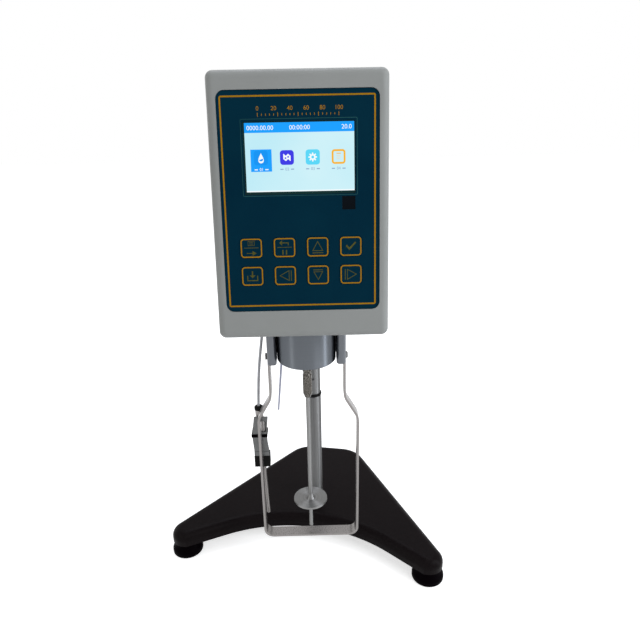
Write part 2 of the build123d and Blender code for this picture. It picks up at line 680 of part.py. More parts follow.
with BuildPart() as keypad_board:
    board_front = face.offset(-KEY_DEEP - SWITCH_SPACE)
    field_t = (KEY_ROWS[0] + KEY_ROWS[1]) / 2
    board_tall = KEY_ROWS[0] - KEY_ROWS[1] + KEY_H + BOARD_EDGE
    with BuildSketch(board_front):
        with Locations(*key_spots):
            Circle(1.8)
    extrude(amount=-1.0)
    with BuildSketch(board_front.offset(-1.0)):
        with Locations(*key_spots):
            Rectangle(6, 6)
    extrude(amount=-3.4)
    with BuildSketch(board_front.offset(-4.4)):
        with Locations((KEY_X, field_t)):
            Rectangle(3 * KEY_PITCH_X + KEY_W + 2 * BOARD_EDGE, board_tall)
    extrude(amount=-1.6)
    with BuildSketch(board_front.offset(-4.4)):
        with Locations((KEY_X, field_t)):
            with GridLocations(2 * KEY_PITCH_X, board_tall - 2 * BOARD_POST_R - 1, 2, 2):
                Circle(BOARD_POST_R)
    extrude(amount=4.4 + KEY_DEEP + SWITCH_SPACE + shell_back)
keep("keypad_board", keypad_board.part)

# ---------------------------------------------------------------- sockets and power switch
with BuildPart() as switch_frame:
    with BuildSketch(back_wall.offset(-10)):
        with Locations(SWITCH_AT):
            Rectangle(SWITCH_W - 0.1, SWITCH_H - 0.1)
    extrude(amount=10)
    with BuildSketch(back_wall):
        with Locations(SWITCH_AT):
            RectangleRounded(SWITCH_W + 2 * SWITCH_RIM, SWITCH_H + 2 * SWITCH_RIM, 1)
    extrude(amount=1.6)
    with BuildSketch(back_wall.offset(1.6)):
        with Locations(SWITCH_AT):
            Rectangle(SWITCH_W - 2 * SWITCH_RIM, SWITCH_H - 4)
    extrude(amount=-7.6, mode=Mode.SUBTRACT)
keep("switch_frame", switch_frame.part)

rocker_axis = Plane(origin=back_wall.offset(-2.6).from_local_coords((*SWITCH_AT, 0)),
                    x_dir=(0, 1, 0), z_dir=(1, 0, 0))
with BuildPart() as power_rocker:
    with BuildSketch(rocker_axis.offset(-SWITCH_W / 2 + SWITCH_RIM + 0.2)):
        with BuildLine():
            Polyline((0, -6.4), (4.2, -6.4), (3.0, 0), (5.6, 5.6), (0.6, 6.2), (-2.6, 2), (-2.6, -2), close=True)
        make_face()
    extrude(amount=SWITCH_W - 2 * SWITCH_RIM - 0.4)
keep("power_rocker", power_rocker.part)

with BuildPart() as power_socket:
    with BuildSketch(back_wall.offset(-12)):
        with Locations(POWER_AT):
            Circle(POWER_R)
    extrude(amount=12)
    with BuildSketch(back_wall):
        with Locations(POWER_AT):
            Circle(POWER_R + 1.6)
    extrude(amount=1.8)
    with BuildSketch(back_wall.offset(1.8)):
        with Locations(POWER_AT):
            Circle(3.1)
            Circle(1.0, mode=Mode.SUBTRACT)
    extrude(amount=-10, mode=Mode.SUBTRACT)
keep("power_socket", power_socket.part)

with BuildPart() as data_port:
    with BuildSketch(back_wall):
        with Locations(PORT_AT):
            RectangleRounded(PORT_W, PORT_H, 1.5)
    extrude(amount=0.8)
    with BuildSketch(back_wall.offset(-8)):
        with Locations(PORT_AT):
            Rectangle(PORT_W - 6.1, PORT_H - 2.1)
    extrude(amount=8)
    with BuildSketch(back_wall.offset(0.8)):
        with Locations(PORT_AT):
            Trapezoid(17.5, 8.6, 80)
    extrude(amount=5)
    with BuildSketch(back_wall.offset(5.8)):
        with Locations(PORT_AT):
            Trapezoid(17.5, 8.6, 80)
            Trapezoid(16.5, 7.6, 80, mode=Mode.SUBTRACT)
    extrude(amount=0.3)
    with BuildSketch(back_wall.offset(5.8)):
        with Locations((PORT_AT[0], PORT_AT[1] + 1.4)):
            with GridLocations(2.77, 1, 5, 1):
                Circle(0.55)
        with Locations((PORT_AT[0], PORT_AT[1] - 1.4)):
            with GridLocations(2.77, 1, 4, 1):
                Circle(0.55)
    extrude(amount=-2, mode=Mode.SUBTRACT)
    with BuildSketch(back_wall.offset(0.8)):
        with Locations(PORT_AT):
            with GridLocations(25, 1, 2, 1):
                RegularPolygon(2.4, 6)
    extrude(amount=4)
keep("data_port", data_port.part)

# ---------------------------------------------------------------- boss, lugs and guard
with BuildPart() as spindle_boss:
    with BuildSketch(at(0)):
        Circle(BOSS_R)
    extrude(amount=BOSS_INNER - BOSS_BOTTOM)
    chamfer(spindle_boss.edges().sort_by(Axis.Z)[0], length=0.7)
    with BuildSketch(Plane.XY.offset(BOSS_INNER)):
        Circle(BOSS_FLANGE_R)
    extrude(amount=BOSS_FLANGE)
    with BuildSketch(at(0)):
        Circle(SHAFT_R + 0.8)
    extrude(amount=BOSS_INNER - BOSS_BOTTOM + BOSS_FLANGE, mode=Mode.SUBTRACT)
    with BuildSketch(at(0)):
        Circle(NUT_R + 2.5)
    extrude(amount=2.5, mode=Mode.SUBTRACT)
keep("spindle_boss", spindle_boss.part)

with BuildPart() as guard:
    with BuildSketch(Plane.XZ.offset(-GUARD_W / 2)):
        with BuildLine() as guard_line:
            leg = [(GUARD_UP_X, BOSS_BOTTOM + GUARD_TOP), (GUARD_UP_X, BOSS_BOTTOM + GUARD_KNEE_FROM),
                   (GUARD_LOW_X, BOSS_BOTTOM + GUARD_KNEE_TO), (GUARD_LOW_X, BOSS_BOTTOM + GUARD_END)]
            bends = [GUARD_KNEE_R, GUARD_KNEE_R, GUARD_CORNER_R]
            FilletPolyline(*leg, *[(-x, z) for x, z in reversed(leg)], radius=bends + bends[::-1])
        trace(line_width=GUARD_THICK)
    extrude(amount=GUARD_W)
    with BuildSketch(Plane.YZ.offset(-GUARD_LOW_X)):
        with Locations((0, BOSS_BOTTOM + GUARD_SCREW_Z)):
            Circle(SCREW_R + 0.1)
    extrude(amount=2 * GUARD_LOW_X, mode=Mode.SUBTRACT)
keep("guard", guard.part)

lug_middle = (LUG_IN + LUG_OUT) / 2
recess_floor = GUARD_UP_X - GUARD_THICK / 2 - SEAT_FIT
for side, sign in (("left", -1), ("right", 1)):
    with BuildPart() as lug:
        with BuildSketch(at(LUG_END)):
            with Locations((sign * lug_middle, 0)):
                RectangleRounded(LUG_OUT - LUG_IN, 2 * LUG_HALF, 2.6)
        extrude(amount=HEAD_BOTTOM - BOSS_BOTTOM - LUG_END)
        fillet(lug.edges().group_by(Axis.Z)[0], radius=1.2)
        # a web behind closes the space between the lug and the boss
        with BuildSketch(at(WEB_FROM)):
            with Locations((sign * lug_middle / 2, (WEB_BACK + LUG_HALF + BOSS_R / 2) / 2)):
                Rectangle(lug_middle, LUG_HALF + BOSS_R / 2 - WEB_BACK)
            Circle(BOSS_R + PLAY, mode=Mode.SUBTRACT)
        extrude(amount=HEAD_BOTTOM - BOSS_BOTTOM - WEB_FROM)
        with BuildSketch(at(LUG_END)):
            with Locations((sign * (recess_floor + GUARD_THICK), 0)):
                Rectangle(2 * GUARD_THICK, GUARD_W + 2 * SEAT_FIT)
        extrude(amount=GUARD_TOP - LUG_END + 0.5, mode=Mode.SUBTRACT)
        with BuildSketch(Plane.YZ):
            with Locations((0, BOSS_BOTTOM + GUARD_SCREW_Z)):
                Circle(SCREW_R + SEAT_FIT)
        extrude(amount=sign * LUG_OUT, mode=Mode.SUBTRACT)
    keep(f"guard_lug_{side}", lug.part)
    strip_face = GUARD_UP_X + GUARD_THICK / 2
    screw_plane = Plane(origin=(sign * strip_face, 0, BOSS_BOTTOM + GUARD_SCREW_Z), x_dir=(0, 0, 1),
                        z_dir=(sign, 0, 0))
    with BuildPart() as guard_screw:
        with BuildSketch(screw_plane):
            Circle(GUARD_SCREW_HEAD_R)
        extrude(amount=GUARD_SCREW_HEAD)
        fillet(guard_screw.edges().filter_by(GeomType.CIRCLE).group_by(Axis.X)[sign], radius=1.3)
        with BuildSketch(screw_plane):
            Circle(SCREW_R)
        extrude(amount=LUG_IN + PLAY - strip_face)
        with BuildSketch(screw_plane.offset(GUARD_SCREW_HEAD)):
            Rectangle(0.8, 3 * GUARD_SCREW_HEAD_R)
        extrude(amount=-0.7, mode=Mode.SUBTRACT)
    keep(f"guard_screw_{side}", guard_screw.part)

# ---------------------------------------------------------------- drive train and spindle
chassis_z = BOSS_INNER + BOSS_FLANGE + CHASSIS_UP
motor_z = chassis_z + CHASSIS_THICK
with BuildPart() as chassis:
    with BuildSketch(Plane.XY.offset(chassis_z)):
        RectangleRounded(CHASSIS_W, CHASSIS_D, CHASSIS_R)
        Circle(SHAFT_R + 1.5, mode=Mode.SUBTRACT)
    extrude(amount=CHASSIS_THICK)
    with BuildSketch(Plane.XY.offset(BOSS_INNER + BOSS_FLANGE)):
        with GridLocations(POST_SPACING, POST_SPACING, 2, 2):
            Circle(POST_R)
    extrude(amount=CHASSIS_UP)
keep("chassis", chassis.part)

with BuildPart() as motor:
    with BuildSketch(Plane.XY.offset(motor_z)):
        Circle(MOTOR_R)
    extrude(amount=MOTOR_TALL)
    with BuildSketch(Plane.XY.offset(motor_z)):
        Circle(SHAFT_R + RUN_FIT)
    extrude(amount=8, mode=Mode.SUBTRACT)
    with BuildSketch(Plane.XY.offset(motor_z + MOTOR_TALL)):
        Circle(6)
    extrude(amount=3)
keep("motor", motor.part)

with BuildPart() as drive_shaft:
    with BuildSketch(at(NUT_TOP - 4)):
        Circle(SHAFT_R)
    extrude(amount=motor_z + 6 - BOSS_BOTTOM - NUT_TOP + 4)
    with BuildSketch(Plane.XY.offset(BOSS_INNER + BOSS_FLANGE + 12)):
        Circle(DIAL_R)
        with PolarLocations(DIAL_R - 4, 12):
            Circle(2.2, mode=Mode.SUBTRACT)
    extrude(amount=1)
    with BuildSketch(Plane.XY.offset(BOSS_INNER + BOSS_FLANGE + 9)):
        Circle(4.5)
    extrude(amount=6)
keep("drive_shaft", drive_shaft.part)

nut_long = NUT_TOP - NUT_END
with BuildPart() as coupling_nut:
    with BuildSketch(Plane.XZ):
        with BuildLine():
            Polyline((0, BOSS_BOTTOM + NUT_TOP), (NUT_R - 0.5, BOSS_BOTTOM + NUT_TOP),
                     (NUT_R, BOSS_BOTTOM + NUT_TOP - 0.5), (NUT_R, BOSS_BOTTOM + NUT_TOP - 4.6),
                     (NUT_R - 0.5, BOSS_BOTTOM + NUT_TOP - 5.4), (NUT_R - 0.5, BOSS_BOTTOM + NUT_TOP - 7.0),
                     (NUT_R, BOSS_BOTTOM + NUT_TOP - 7.8), (NUT_R, BOSS_BOTTOM + NUT_END + 3.2),
                     (SPINDLE_R + 0.7, BOSS_BOTTOM + NUT_END), (0, BOSS_BOTTOM + NUT_END), close=True)
        make_face()
    revolve(axis=Axis.Z)
    with BuildSketch(at(NUT_END + 4.5)):
        with PolarLocations(NUT_R + 0.15, 18):
            Circle(0.4)
    extrude(amount=11.5, mode=Mode.SUBTRACT)
    with BuildSketch(at(NUT_TOP)):
        Circle(SHAFT_R + SEAT_FIT)
    extrude(amount=-4.2, mode=Mode.SUBTRACT)
    with BuildSketch(at(NUT_END)):
        Circle(SPINDLE_R + SEAT_FIT)
    extrude(amount=nut_long - 6, mode=Mode.SUBTRACT)
keep("coupling_nut", coupling_nut.part)

with BuildPart() as spindle:
    with BuildSketch(at(SPINDLE_END)):
        Circle(SPINDLE_R)
    extrude(amount=NUT_END + nut_long - 7 - SPINDLE_END)
    with BuildSketch(at(DISC_Z)):
        Circle(DISC_R)
    extrude(amount=-DISC_THICK)
    with BuildSketch(at(DISC_Z)):
        Circle(3.8)
    extrude(amount=3.6, taper=28)
    chamfer(spindle.edges().sort_by(Axis.Z)[0], length=0.3)
keep("spindle", spindle.part)

# ---------------------------------------------------------------- temperature probe and clip
probe_lean = math.atan2(PROBE_END_X - PROBE_X, PROBE_TOP - PROBE_END)
probe_axis = Plane(origin=(PROBE_X, PROBE_Y, BOSS_BOTTOM + PROBE_TOP), x_dir=(math.cos(probe_lean), 0,
                   math.sin(probe_lean)), z_dir=(-math.sin(probe_lean), 0, math.cos(probe_lean)))
with BuildPart() as probe:
    with BuildSketch(probe_axis.offset(SLEEVE_END - PROBE_TOP)):
        Circle(SLEEVE_R)
    extrude(amount=PROBE_TOP - COLLAR - SLEEVE_END)
    with BuildSketch(probe_axis.offset(PROBE_END - PROBE_TOP)):
        Circle(ROD_R)
    extrude(amount=SLEEVE_END - PROBE_END)
    fillet(probe.edges().sort_by(Axis.Z)[0], radius=1.2)
keep("probe", probe.part)

with BuildPart() as probe_collar:
    with BuildSketch(probe_axis.offset(-COLLAR)):
        Circle(SLEEVE_R + 0.35)
    extrude(amount=COLLAR)
    chamfer(probe_collar.edges().sort_by(Axis.Z)[-1], length=0.8)
keep("probe_collar", probe_collar.part)

guard_rear = GUARD_W / 2
plate_front = guard_rear + 3 * PLAY
plate_rear = plate_front + CLIP_THICK
jaw_front = PROBE_Y + SLEEVE_R + PLAY
jaw_rear = jaw_front + CLIP_THICK


def clip_front(y):
    """The plane of the clip's outline, at this depth, its first direction to the right."""
    return Plane(origin=(0, y, BOSS_BOTTOM), x_dir=(1, 0, 0), z_dir=(0, -1, 0))


top_x, pivot_x, pad_x = CLIP_X
top_half, pivot_half, pad_half = CLIP_HALF
with BuildPart() as clip_plate:
    with BuildSketch(clip_front(plate_rear)):
        Polygon((top_x - top_half, CLIP_TOP), (pivot_x - pivot_half, CLIP_PIVOT + BAND_TALL / 2),
                (pivot_x - pivot_half, CLIP_PIVOT - BAND_TALL / 2), (pad_x - pad_half, CLIP_BEND),
                (pad_x - pad_half, CLIP_PADS), (pad_x + pad_half, CLIP_PADS), (pad_x + pad_half, CLIP_BEND),
                (pivot_x + pivot_half, CLIP_PIVOT - BAND_TALL / 2),
                (pivot_x + pivot_half, CLIP_PIVOT + BAND_TALL / 2), (top_x + top_half, CLIP_TOP), align=None)
        with Locations((top_x + CLIP_WINDOW_AT[0], CLIP_WINDOW_AT[1])):
            RectangleRounded(*CLIP_WINDOW, 1.2, mode=Mode.SUBTRACT)
    extrude(amount=CLIP_THICK)
    with BuildSketch(clip_front(plate_front)):
        with Locations((pad_x, (CLIP_BEND + CLIP_PADS) / 2)):
            Rectangle(2 * pad_half, (CLIP_BEND - CLIP_PADS) / 2)
    extrude(amount=PLAY)
keep("clip_plate", clip_plate.part)

band_rear = jaw_rear + 2 * PIN_R + PLAY
with BuildPart() as clip_band:
    with BuildSketch(at(CLIP_PIVOT - BAND_TALL / 2)):
        with Locations((pivot_x, (plate_front + band_rear) / 2)):
            Rectangle(2 * (pivot_half + BAND_WALL), band_rear - plate_front + 2 * BAND_WALL)
            Rectangle(2 * pivot_half, band_rear - plate_front, mode=Mode.SUBTRACT)
    extrude(amount=BAND_TALL)
keep("clip_band", clip_band.part)

with BuildPart() as clip_pin:
    with BuildSketch(Plane.YZ.offset(pivot_x - pivot_half + SEAT_FIT)):
        with Locations((jaw_rear + PIN_R + PLAY / 2, BOSS_BOTTOM + CLIP_PIVOT)):
            Circle(PIN_R)
    extrude(amount=2 * (pivot_half - SEAT_FIT))
keep("clip_pin", clip_pin.part)

with BuildPart() as clip_jaw:
    with BuildSketch(Plane.YZ.offset(pad_x - pad_half + PLAY)):
        with BuildLine():
            Polyline((jaw_front, BOSS_BOTTOM + CLIP_PADS), (jaw_front, BOSS_BOTTOM + CLIP_PIVOT),
                     (jaw_front + CLIP_FLARE, BOSS_BOTTOM + JAW_TOP), (jaw_rear + CLIP_FLARE, BOSS_BOTTOM + JAW_TOP),
                     (jaw_rear, BOSS_BOTTOM + CLIP_PIVOT), (jaw_rear, BOSS_BOTTOM + CLIP_PADS), close=True)
        make_face()
    extrude(amount=pivot_x + pivot_half - PLAY - (pad_x - pad_half + PLAY))
keep("clip_jaw", clip_jaw.part)

# rubber pads grip the rod from both sides; each is bonded round the end of its plate
with BuildPart() as rod_space:
    with BuildSketch(probe_axis.offset(PROBE_END - PROBE_TOP)):
        Circle(ROD_R + 0.12)
    extrude(amount=SLEEVE_END - PROBE_END)
for name, front, rear, half in (("pad_fixed", plate_front - 0.4, PROBE_Y - PLAY, pad_half + 0.2),
                                ("pad_moving", PROBE_Y + PLAY, jaw_rear + 0.4, pad_half)):
    with BuildPart() as pad:
        with BuildSketch(at(CLIP_END)):
            with Locations((pad_x, (front + rear) / 2)):
                Rectangle(2 * half, rear - front)
        extrude(amount=CLIP_PADS - CLIP_END)
        add(rod_space.part, mode=Mode.SUBTRACT)
    keep(name, pad.part)

# probe lead: from the grommet in the housing's underside to the collar, slightly bowed
lead_route = [(LEAD_EXIT[0], LEAD_EXIT[1], HEAD_BOTTOM - 2.15), (-31.8, 11.6, BOSS_BOTTOM + 25),
              (-35.0, 10.8, BOSS_BOTTOM + 9), (-38.2, 10.2, BOSS_BOTTOM - 9), (-39.6, PROBE_Y, BOSS_BOTTOM - 28),
              (PROBE_X, PROBE_Y, BOSS_BOTTOM + PROBE_TOP + 0.1)]


def arc_radii(route):
    """Radius of each corner: 0.45 of the shorter run over the tangent of half the turn."""
    radii = []
    for before, corner, after in zip(route, route[1:], route[2:]):
        run_in = Vector(*corner) - Vector(*before)
        run_out = Vector(*after) - Vector(*corner)
        turn = math.radians(run_in.get_angle(run_out))
        radii.append(0.45 * min(run_in.length, run_out.length) / math.tan(turn / 2))
    return radii


with BuildPart() as probe_lead:
    with BuildLine() as lead_line:
        FilletPolyline(*lead_route, radius=arc_radii(lead_route))
    with BuildSketch(Plane(origin=lead_line.line @ 0, z_dir=lead_line.line % 0)):
        Circle(LEAD_R)
    sweep()
keep("probe_lead", probe_lead.part)
print("lead radii", [round(radius, 1) for radius in arc_radii(lead_route)],
      "length", round(sum(edge.length for edge in lead_line.edges()), 2))

with BuildPart() as lead_grommet:
    with BuildSketch(Plane(origin=(*LEAD_EXIT, HEAD_BOTTOM + WALL))):
        Circle(GROMMET_R)
    extrude(amount=-WALL)
    with BuildSketch(Plane(origin=(*LEAD_EXIT, HEAD_BOTTOM))):
        Circle(GROMMET_R + 1)
    extrude(amount=-2.0)
keep("lead_grommet", lead_grommet.part)

# tie tail: the thin tapered end of a nylon tie that hangs down behind the boss
with BuildPart() as tie_tail:
    tail_top = Vector(*TAIL_AT, HEAD_BOTTOM - 1.5)
    tail_low = Vector(TAIL_END[0], TAIL_END[1], BOSS_BOTTOM + TAIL_END[2])
    tail_axis = tail_low - tail_top
    with BuildSketch(Plane(origin=tail_top, x_dir=(1, 0, 0), z_dir=tail_axis)):
        Rectangle(TAIL_W, TAIL_W * 0.7)
    with BuildSketch(Plane(origin=tail_low, x_dir=(1, 0, 0), z_dir=tail_axis)):
        Rectangle(TAIL_W * 0.6, TAIL_W * 0.4)
    loft()
    with BuildSketch(Plane(origin=(*TAIL_AT, HEAD_BOTTOM))):
        RectangleRounded(5, 3.6, 0.8)
    extrude(amount=-1.7)
keep("tie_tail", tie_tail.part)

# ---------------------------------------------------------------- origin and export
boxes = [piece.bounding_box() for piece in pieces.values()]
lowest = [min(getattr(box.min, axis) for box in boxes) for axis in "XYZ"]
highest = [max(getattr(box.max, axis) for box in boxes) for axis in "XYZ"]
shift = Vector(-(lowest[0] + highest[0]) / 2, -(lowest[1] + highest[1]) / 2, 0)
for name, piece in pieces.items():
    moved = piece.moved(Location(shift))
    moved.label = name
    export_step(moved, f"parts/{name}.step")
print("shift", round(shift.X, 4), round(shift.Y, 4))
print("lowest", lowest)
print("highest", highest)
print("pinion", PINION_Y, PINION_Z, "lock", COLUMN_Y, LOCK_Z, "clip", jaw_front, BOSS_BOTTOM + CLIP_PIVOT)
print("rocker", rocker_axis.origin, "feet", [stand.from_local_coords((*spot, 0)) for spot in FEET.values()])
print("pieces", len(pieces))
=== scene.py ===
import math

import bmesh
import bpy
import numpy as np
from mathutils import Matrix, Vector


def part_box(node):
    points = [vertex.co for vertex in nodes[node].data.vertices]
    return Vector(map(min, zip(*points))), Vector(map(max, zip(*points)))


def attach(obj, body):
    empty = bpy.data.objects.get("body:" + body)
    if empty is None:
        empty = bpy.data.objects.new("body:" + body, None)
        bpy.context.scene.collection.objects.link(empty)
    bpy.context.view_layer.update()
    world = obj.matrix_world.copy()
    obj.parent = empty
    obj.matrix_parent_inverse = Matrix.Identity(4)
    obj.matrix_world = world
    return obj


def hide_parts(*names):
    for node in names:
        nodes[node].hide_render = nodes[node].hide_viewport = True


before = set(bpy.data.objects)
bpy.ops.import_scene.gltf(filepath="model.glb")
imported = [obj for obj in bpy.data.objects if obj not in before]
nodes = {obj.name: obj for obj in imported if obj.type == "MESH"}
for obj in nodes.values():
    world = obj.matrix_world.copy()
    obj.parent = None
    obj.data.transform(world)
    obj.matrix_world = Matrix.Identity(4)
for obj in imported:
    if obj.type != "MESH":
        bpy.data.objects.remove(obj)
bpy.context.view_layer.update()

# ------------------------------------------------------------------ cast base and its feet
# One sand casting with a rear lobe and two front legs, stove-enamelled black over the cast skin.
# Three moulded levelling feet are screwed up into it.
SATIN_BLACK = (0.0050, 0.0036, 0.0040, 1)
MOULDED_BLACK = (0.0014, 0.0007, 0.0013, 1)


def new_finish(name, colour, roughness, metallic=0.0, gloss=0.3):
    """A material with one Principled shader; returns the material, its tree and the shader."""
    finish = bpy.data.materials.new(name)
    finish.use_nodes = True
    tree = finish.node_tree
    shader = tree.nodes["Principled BSDF"]
    shader.inputs["Base Color"].default_value = colour
    shader.inputs["Roughness"].default_value = roughness
    shader.inputs["Metallic"].default_value = metallic
    shader.inputs["Specular IOR Level"].default_value = gloss
    return finish, tree, shader


def object_noise(tree, scale, detail=3.0, stretch=(1, 1, 1)):
    """A noise in object space, its grain stretched along the axes; returns the value socket."""
    place = tree.nodes.new("ShaderNodeTexCoord")
    mapping = tree.nodes.new("ShaderNodeMapping")
    mapping.inputs["Scale"].default_value = stretch
    noise = tree.nodes.new("ShaderNodeTexNoise")
    noise.inputs["Scale"].default_value = scale
    noise.inputs["Detail"].default_value = detail
    tree.links.new(place.outputs["Object"], mapping.inputs["Vector"])
    tree.links.new(mapping.outputs["Vector"], noise.inputs["Vector"])
    return noise.outputs["Fac"]


def spread(tree, value, low, high):
    """Map a 0..1 value to the range low..high; returns the new socket."""
    ramp = tree.nodes.new("ShaderNodeMapRange")
    ramp.inputs["From Min"].default_value = 0.3
    ramp.inputs["From Max"].default_value = 0.7
    ramp.inputs["To Min"].default_value = low
    ramp.inputs["To Max"].default_value = high
    tree.links.new(value, ramp.inputs["Value"])
    return ramp.outputs["Result"]


def tint(tree, shader, value, dark, light):
    """Blend the base colour between two colours by a value."""
    mix = tree.nodes.new("ShaderNodeMix")
    mix.data_type = "RGBA"
    mix.inputs["A"].default_value = dark
    mix.inputs["B"].default_value = light
    tree.links.new(value, mix.inputs["Factor"])
    tree.links.new(mix.outputs["Result"], shader.inputs["Base Color"])


def emboss(tree, shader, value, strength, distance):
    """Feed a height value to the shader's normal through a Bump node."""
    bump = tree.nodes.new("ShaderNodeBump")
    bump.inputs["Strength"].default_value = strength
    bump.inputs["Distance"].default_value = distance
    tree.links.new(value, bump.inputs["Height"])
    tree.links.new(bump.outputs["Normal"], shader.inputs["Normal"])


def clad(finish, *names):
    """Give CAD nodes a finish in place of their plain one."""
    for name in names:
        mesh = nodes[name].data
        mesh.materials.clear()
        mesh.materials.append(finish)


enamel, tree, shader = new_finish("enamel", SATIN_BLACK, 0.36, gloss=0.03)
skin = object_noise(tree, 420.0, 4.0)
tree.links.new(spread(tree, object_noise(tree, 60.0), 0.30, 0.44), shader.inputs["Roughness"])
tint(tree, shader, spread(tree, skin, 0.0, 1.0), SATIN_BLACK, (0.0070, 0.0052, 0.0056, 1))
emboss(tree, shader, skin, 0.12, 0.0003)
clad(enamel, "base_casting")

moulding, tree, shader = new_finish("black_moulding", MOULDED_BLACK, 0.45, gloss=0.01)
grain = object_noise(tree, 1500.0, 2.0)
tree.links.new(spread(tree, object_noise(tree, 90.0), 0.38, 0.52), shader.inputs["Roughness"])
emboss(tree, shader, grain, 0.1, 0.0001)
clad(moulding, "foot_left", "foot_right", "foot_rear", "column_cap", "lift_knob", "lock_knob",
     "switch_frame", "power_rocker", "power_socket", "clip_band")

# ------------------------------------------------------------------ column, rack and lift block
# Ground stainless bar in two lengths with a black ring at the joint, a milled rack let into the
# back, and an anodised block that the pinion winds up and down it.
GROUND_STEEL = (0.195, 0.197, 0.198, 1)
GROUND_DARK = (0.165, 0.166, 0.167, 1)


def marks_round(shader, share, rim):
    """Tool marks that run round a bar: light spreads along it, and the rim reflects less."""
    shader.inputs["Anisotropic"].default_value = share
    shader.inputs["Anisotropic Rotation"].default_value = 0.25
    shader.inputs["Specular Tint"].default_value = (rim, rim, rim, 1)


ground, tree, shader = new_finish("ground_steel", GROUND_STEEL, 0.43, 1.0)
marks_round(shader, 0.95, 0.3)
streaks = object_noise(tree, 1100.0, 2.0, (1, 1, 0.01))
tree.links.new(spread(tree, streaks, 0.40, 0.46), shader.inputs["Roughness"])
tint(tree, shader, spread(tree, streaks, 0.0, 1.0), GROUND_DARK, GROUND_STEEL)
clad(ground, "column_lower", "column_upper", "column_rack", "column_nut", "pinion", "lock_screw",
     "flange_screws", "guard_screw_left", "guard_screw_right", "clip_pin", "data_port")

rubber, tree, shader = new_finish("black_rubber", (0.008, 0.008, 0.008, 1), 0.62, gloss=0.05)
emboss(tree, shader, object_noise(tree, 2500.0, 2.0), 0.15, 0.0001)
tree.links.new(spread(tree, object_noise(tree, 200.0), 0.52, 0.7), shader.inputs["Roughness"])
clad(rubber, "column_ring", "probe_collar", "pad_fixed", "pad_moving", "lead_grommet")

anodised, tree, shader = new_finish("black_anodised", (0.016, 0.016, 0.017, 1), 0.42, 0.6, gloss=0.05)
tree.links.new(spread(tree, object_noise(tree, 300.0, 4.0, (1, 1, 6)), 0.34, 0.5),
               shader.inputs["Roughness"])
emboss(tree, shader, object_noise(tree, 3000.0, 2.0), 0.1, 0.0001)
clad(anodised, "lift_block", "pinion_cover")

# ------------------------------------------------------------------ head housing
# Two injection-moulded shells of light grey plastic with a fine spark-eroded texture, joined on
# a plane parallel to the leaning face.
HOUSING_GREY = (0.258, 0.268, 0.263, 1)
HOUSING_SHADE = (0.242, 0.251, 0.246, 1)

housing, tree, shader = new_finish("grey_housing", HOUSING_GREY, 0.46, gloss=0.15)
texture = object_noise(tree, 1800.0, 3.0)
tree.links.new(spread(tree, object_noise(tree, 40.0), 0.42, 0.52), shader.inputs["Roughness"])
tint(tree, shader, spread(tree, object_noise(tree, 25.0), 0.0, 1.0), HOUSING_SHADE, HOUSING_GREY)
emboss(tree, shader, texture, 0.12, 0.0001)
clad(housing, "front_shell", "rear_shell")

vial, tree, shader = new_finish("vial_fluid", (0.42, 0.62, 0.06, 1), 0.08)
tint(tree, shader, spread(tree, object_noise(tree, 100.0), 0.0, 1.0), (0.38, 0.58, 0.05, 1),
     (0.46, 0.66, 0.08, 1))
clad(vial, "level_vial")
vial_low, vial_high = [np.array(corner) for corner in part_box("level_vial")]
vial_middle = [(vial_low[0] + vial_high[0]) / 2, (vial_low[1] + vial_high[1]) / 2, vial_high[2]]
BUBBLE_R = 0.0024
BUBBLE_TALL = 0.00025
RING_R = 0.0034
RING_WIDE = 0.00035
RING_THICK = 0.0001


def turned_piece(name, radius, height, finish, body, middle, steps=48):
    """A surface of revolution: at each angle the profile (radius, height) is turned round the
    upright axis through the middle.  A closed profile gives a ring, an open one a cap."""
    angle = np.linspace(0, 2 * np.pi, steps, endpoint=False)[:, None]
    heights = np.broadcast_to(height, (steps, len(height)))
    points = np.stack([radius * np.cos(angle), radius * np.sin(angle), heights], axis=-1)
    points = points.reshape(-1, 3) + middle
    row = np.arange(steps)[:, None] * len(radius)
    after = (np.arange(steps)[:, None] + 1) % steps * len(radius)
    step = np.arange(len(radius) - 1)[None, :]
    faces = np.stack([row + step, after + step, after + step + 1, row + step + 1], axis=-1).reshape(-1, 4)
    mesh = bpy.data.meshes.new(name)
    mesh.from_pydata(points.tolist(), [], faces.tolist())
    mesh.materials.append(finish)
    shell = bmesh.new()
    shell.from_mesh(mesh)
    bmesh.ops.remove_doubles(shell, verts=shell.verts, dist=1e-7)
    bmesh.ops.recalc_face_normals(shell, faces=shell.faces)
    shell.to_mesh(mesh)
    shell.free()
    for polygon in mesh.polygons:
        polygon.use_smooth = True
    piece = bpy.data.objects.new(name, mesh)
    bpy.context.scene.collection.objects.link(piece)
    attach(piece, body)
    return piece


bubble_finish, tree, shader = new_finish("bubble", (0.72, 0.86, 0.35, 1), 0.06)
tint(tree, shader, spread(tree, object_noise(tree, 300.0), 0.0, 1.0), (0.68, 0.82, 0.30, 1),
     (0.76, 0.90, 0.42, 1))
arch = np.linspace(0, np.pi / 2, 9)
turned_piece("level_bubble", np.append(BUBBLE_R * np.cos(arch), 0.0),
             np.append(BUBBLE_TALL * np.sin(arch), 0.0), bubble_finish, "head", vial_middle)
ring_ink, tree, shader = new_finish("level_ring_ink", (0.01, 0.012, 0.008, 1), 0.4)
tint(tree, shader, spread(tree, object_noise(tree, 500.0), 0.0, 1.0), (0.006, 0.008, 0.005, 1),
     (0.014, 0.016, 0.011, 1))
turned_piece("level_ring", RING_R + RING_WIDE * np.array([0, 1, 1, 0, 0]),
             np.array([0, 0, RING_THICK, RING_THICK, 0]), ring_ink, "head", vial_middle)

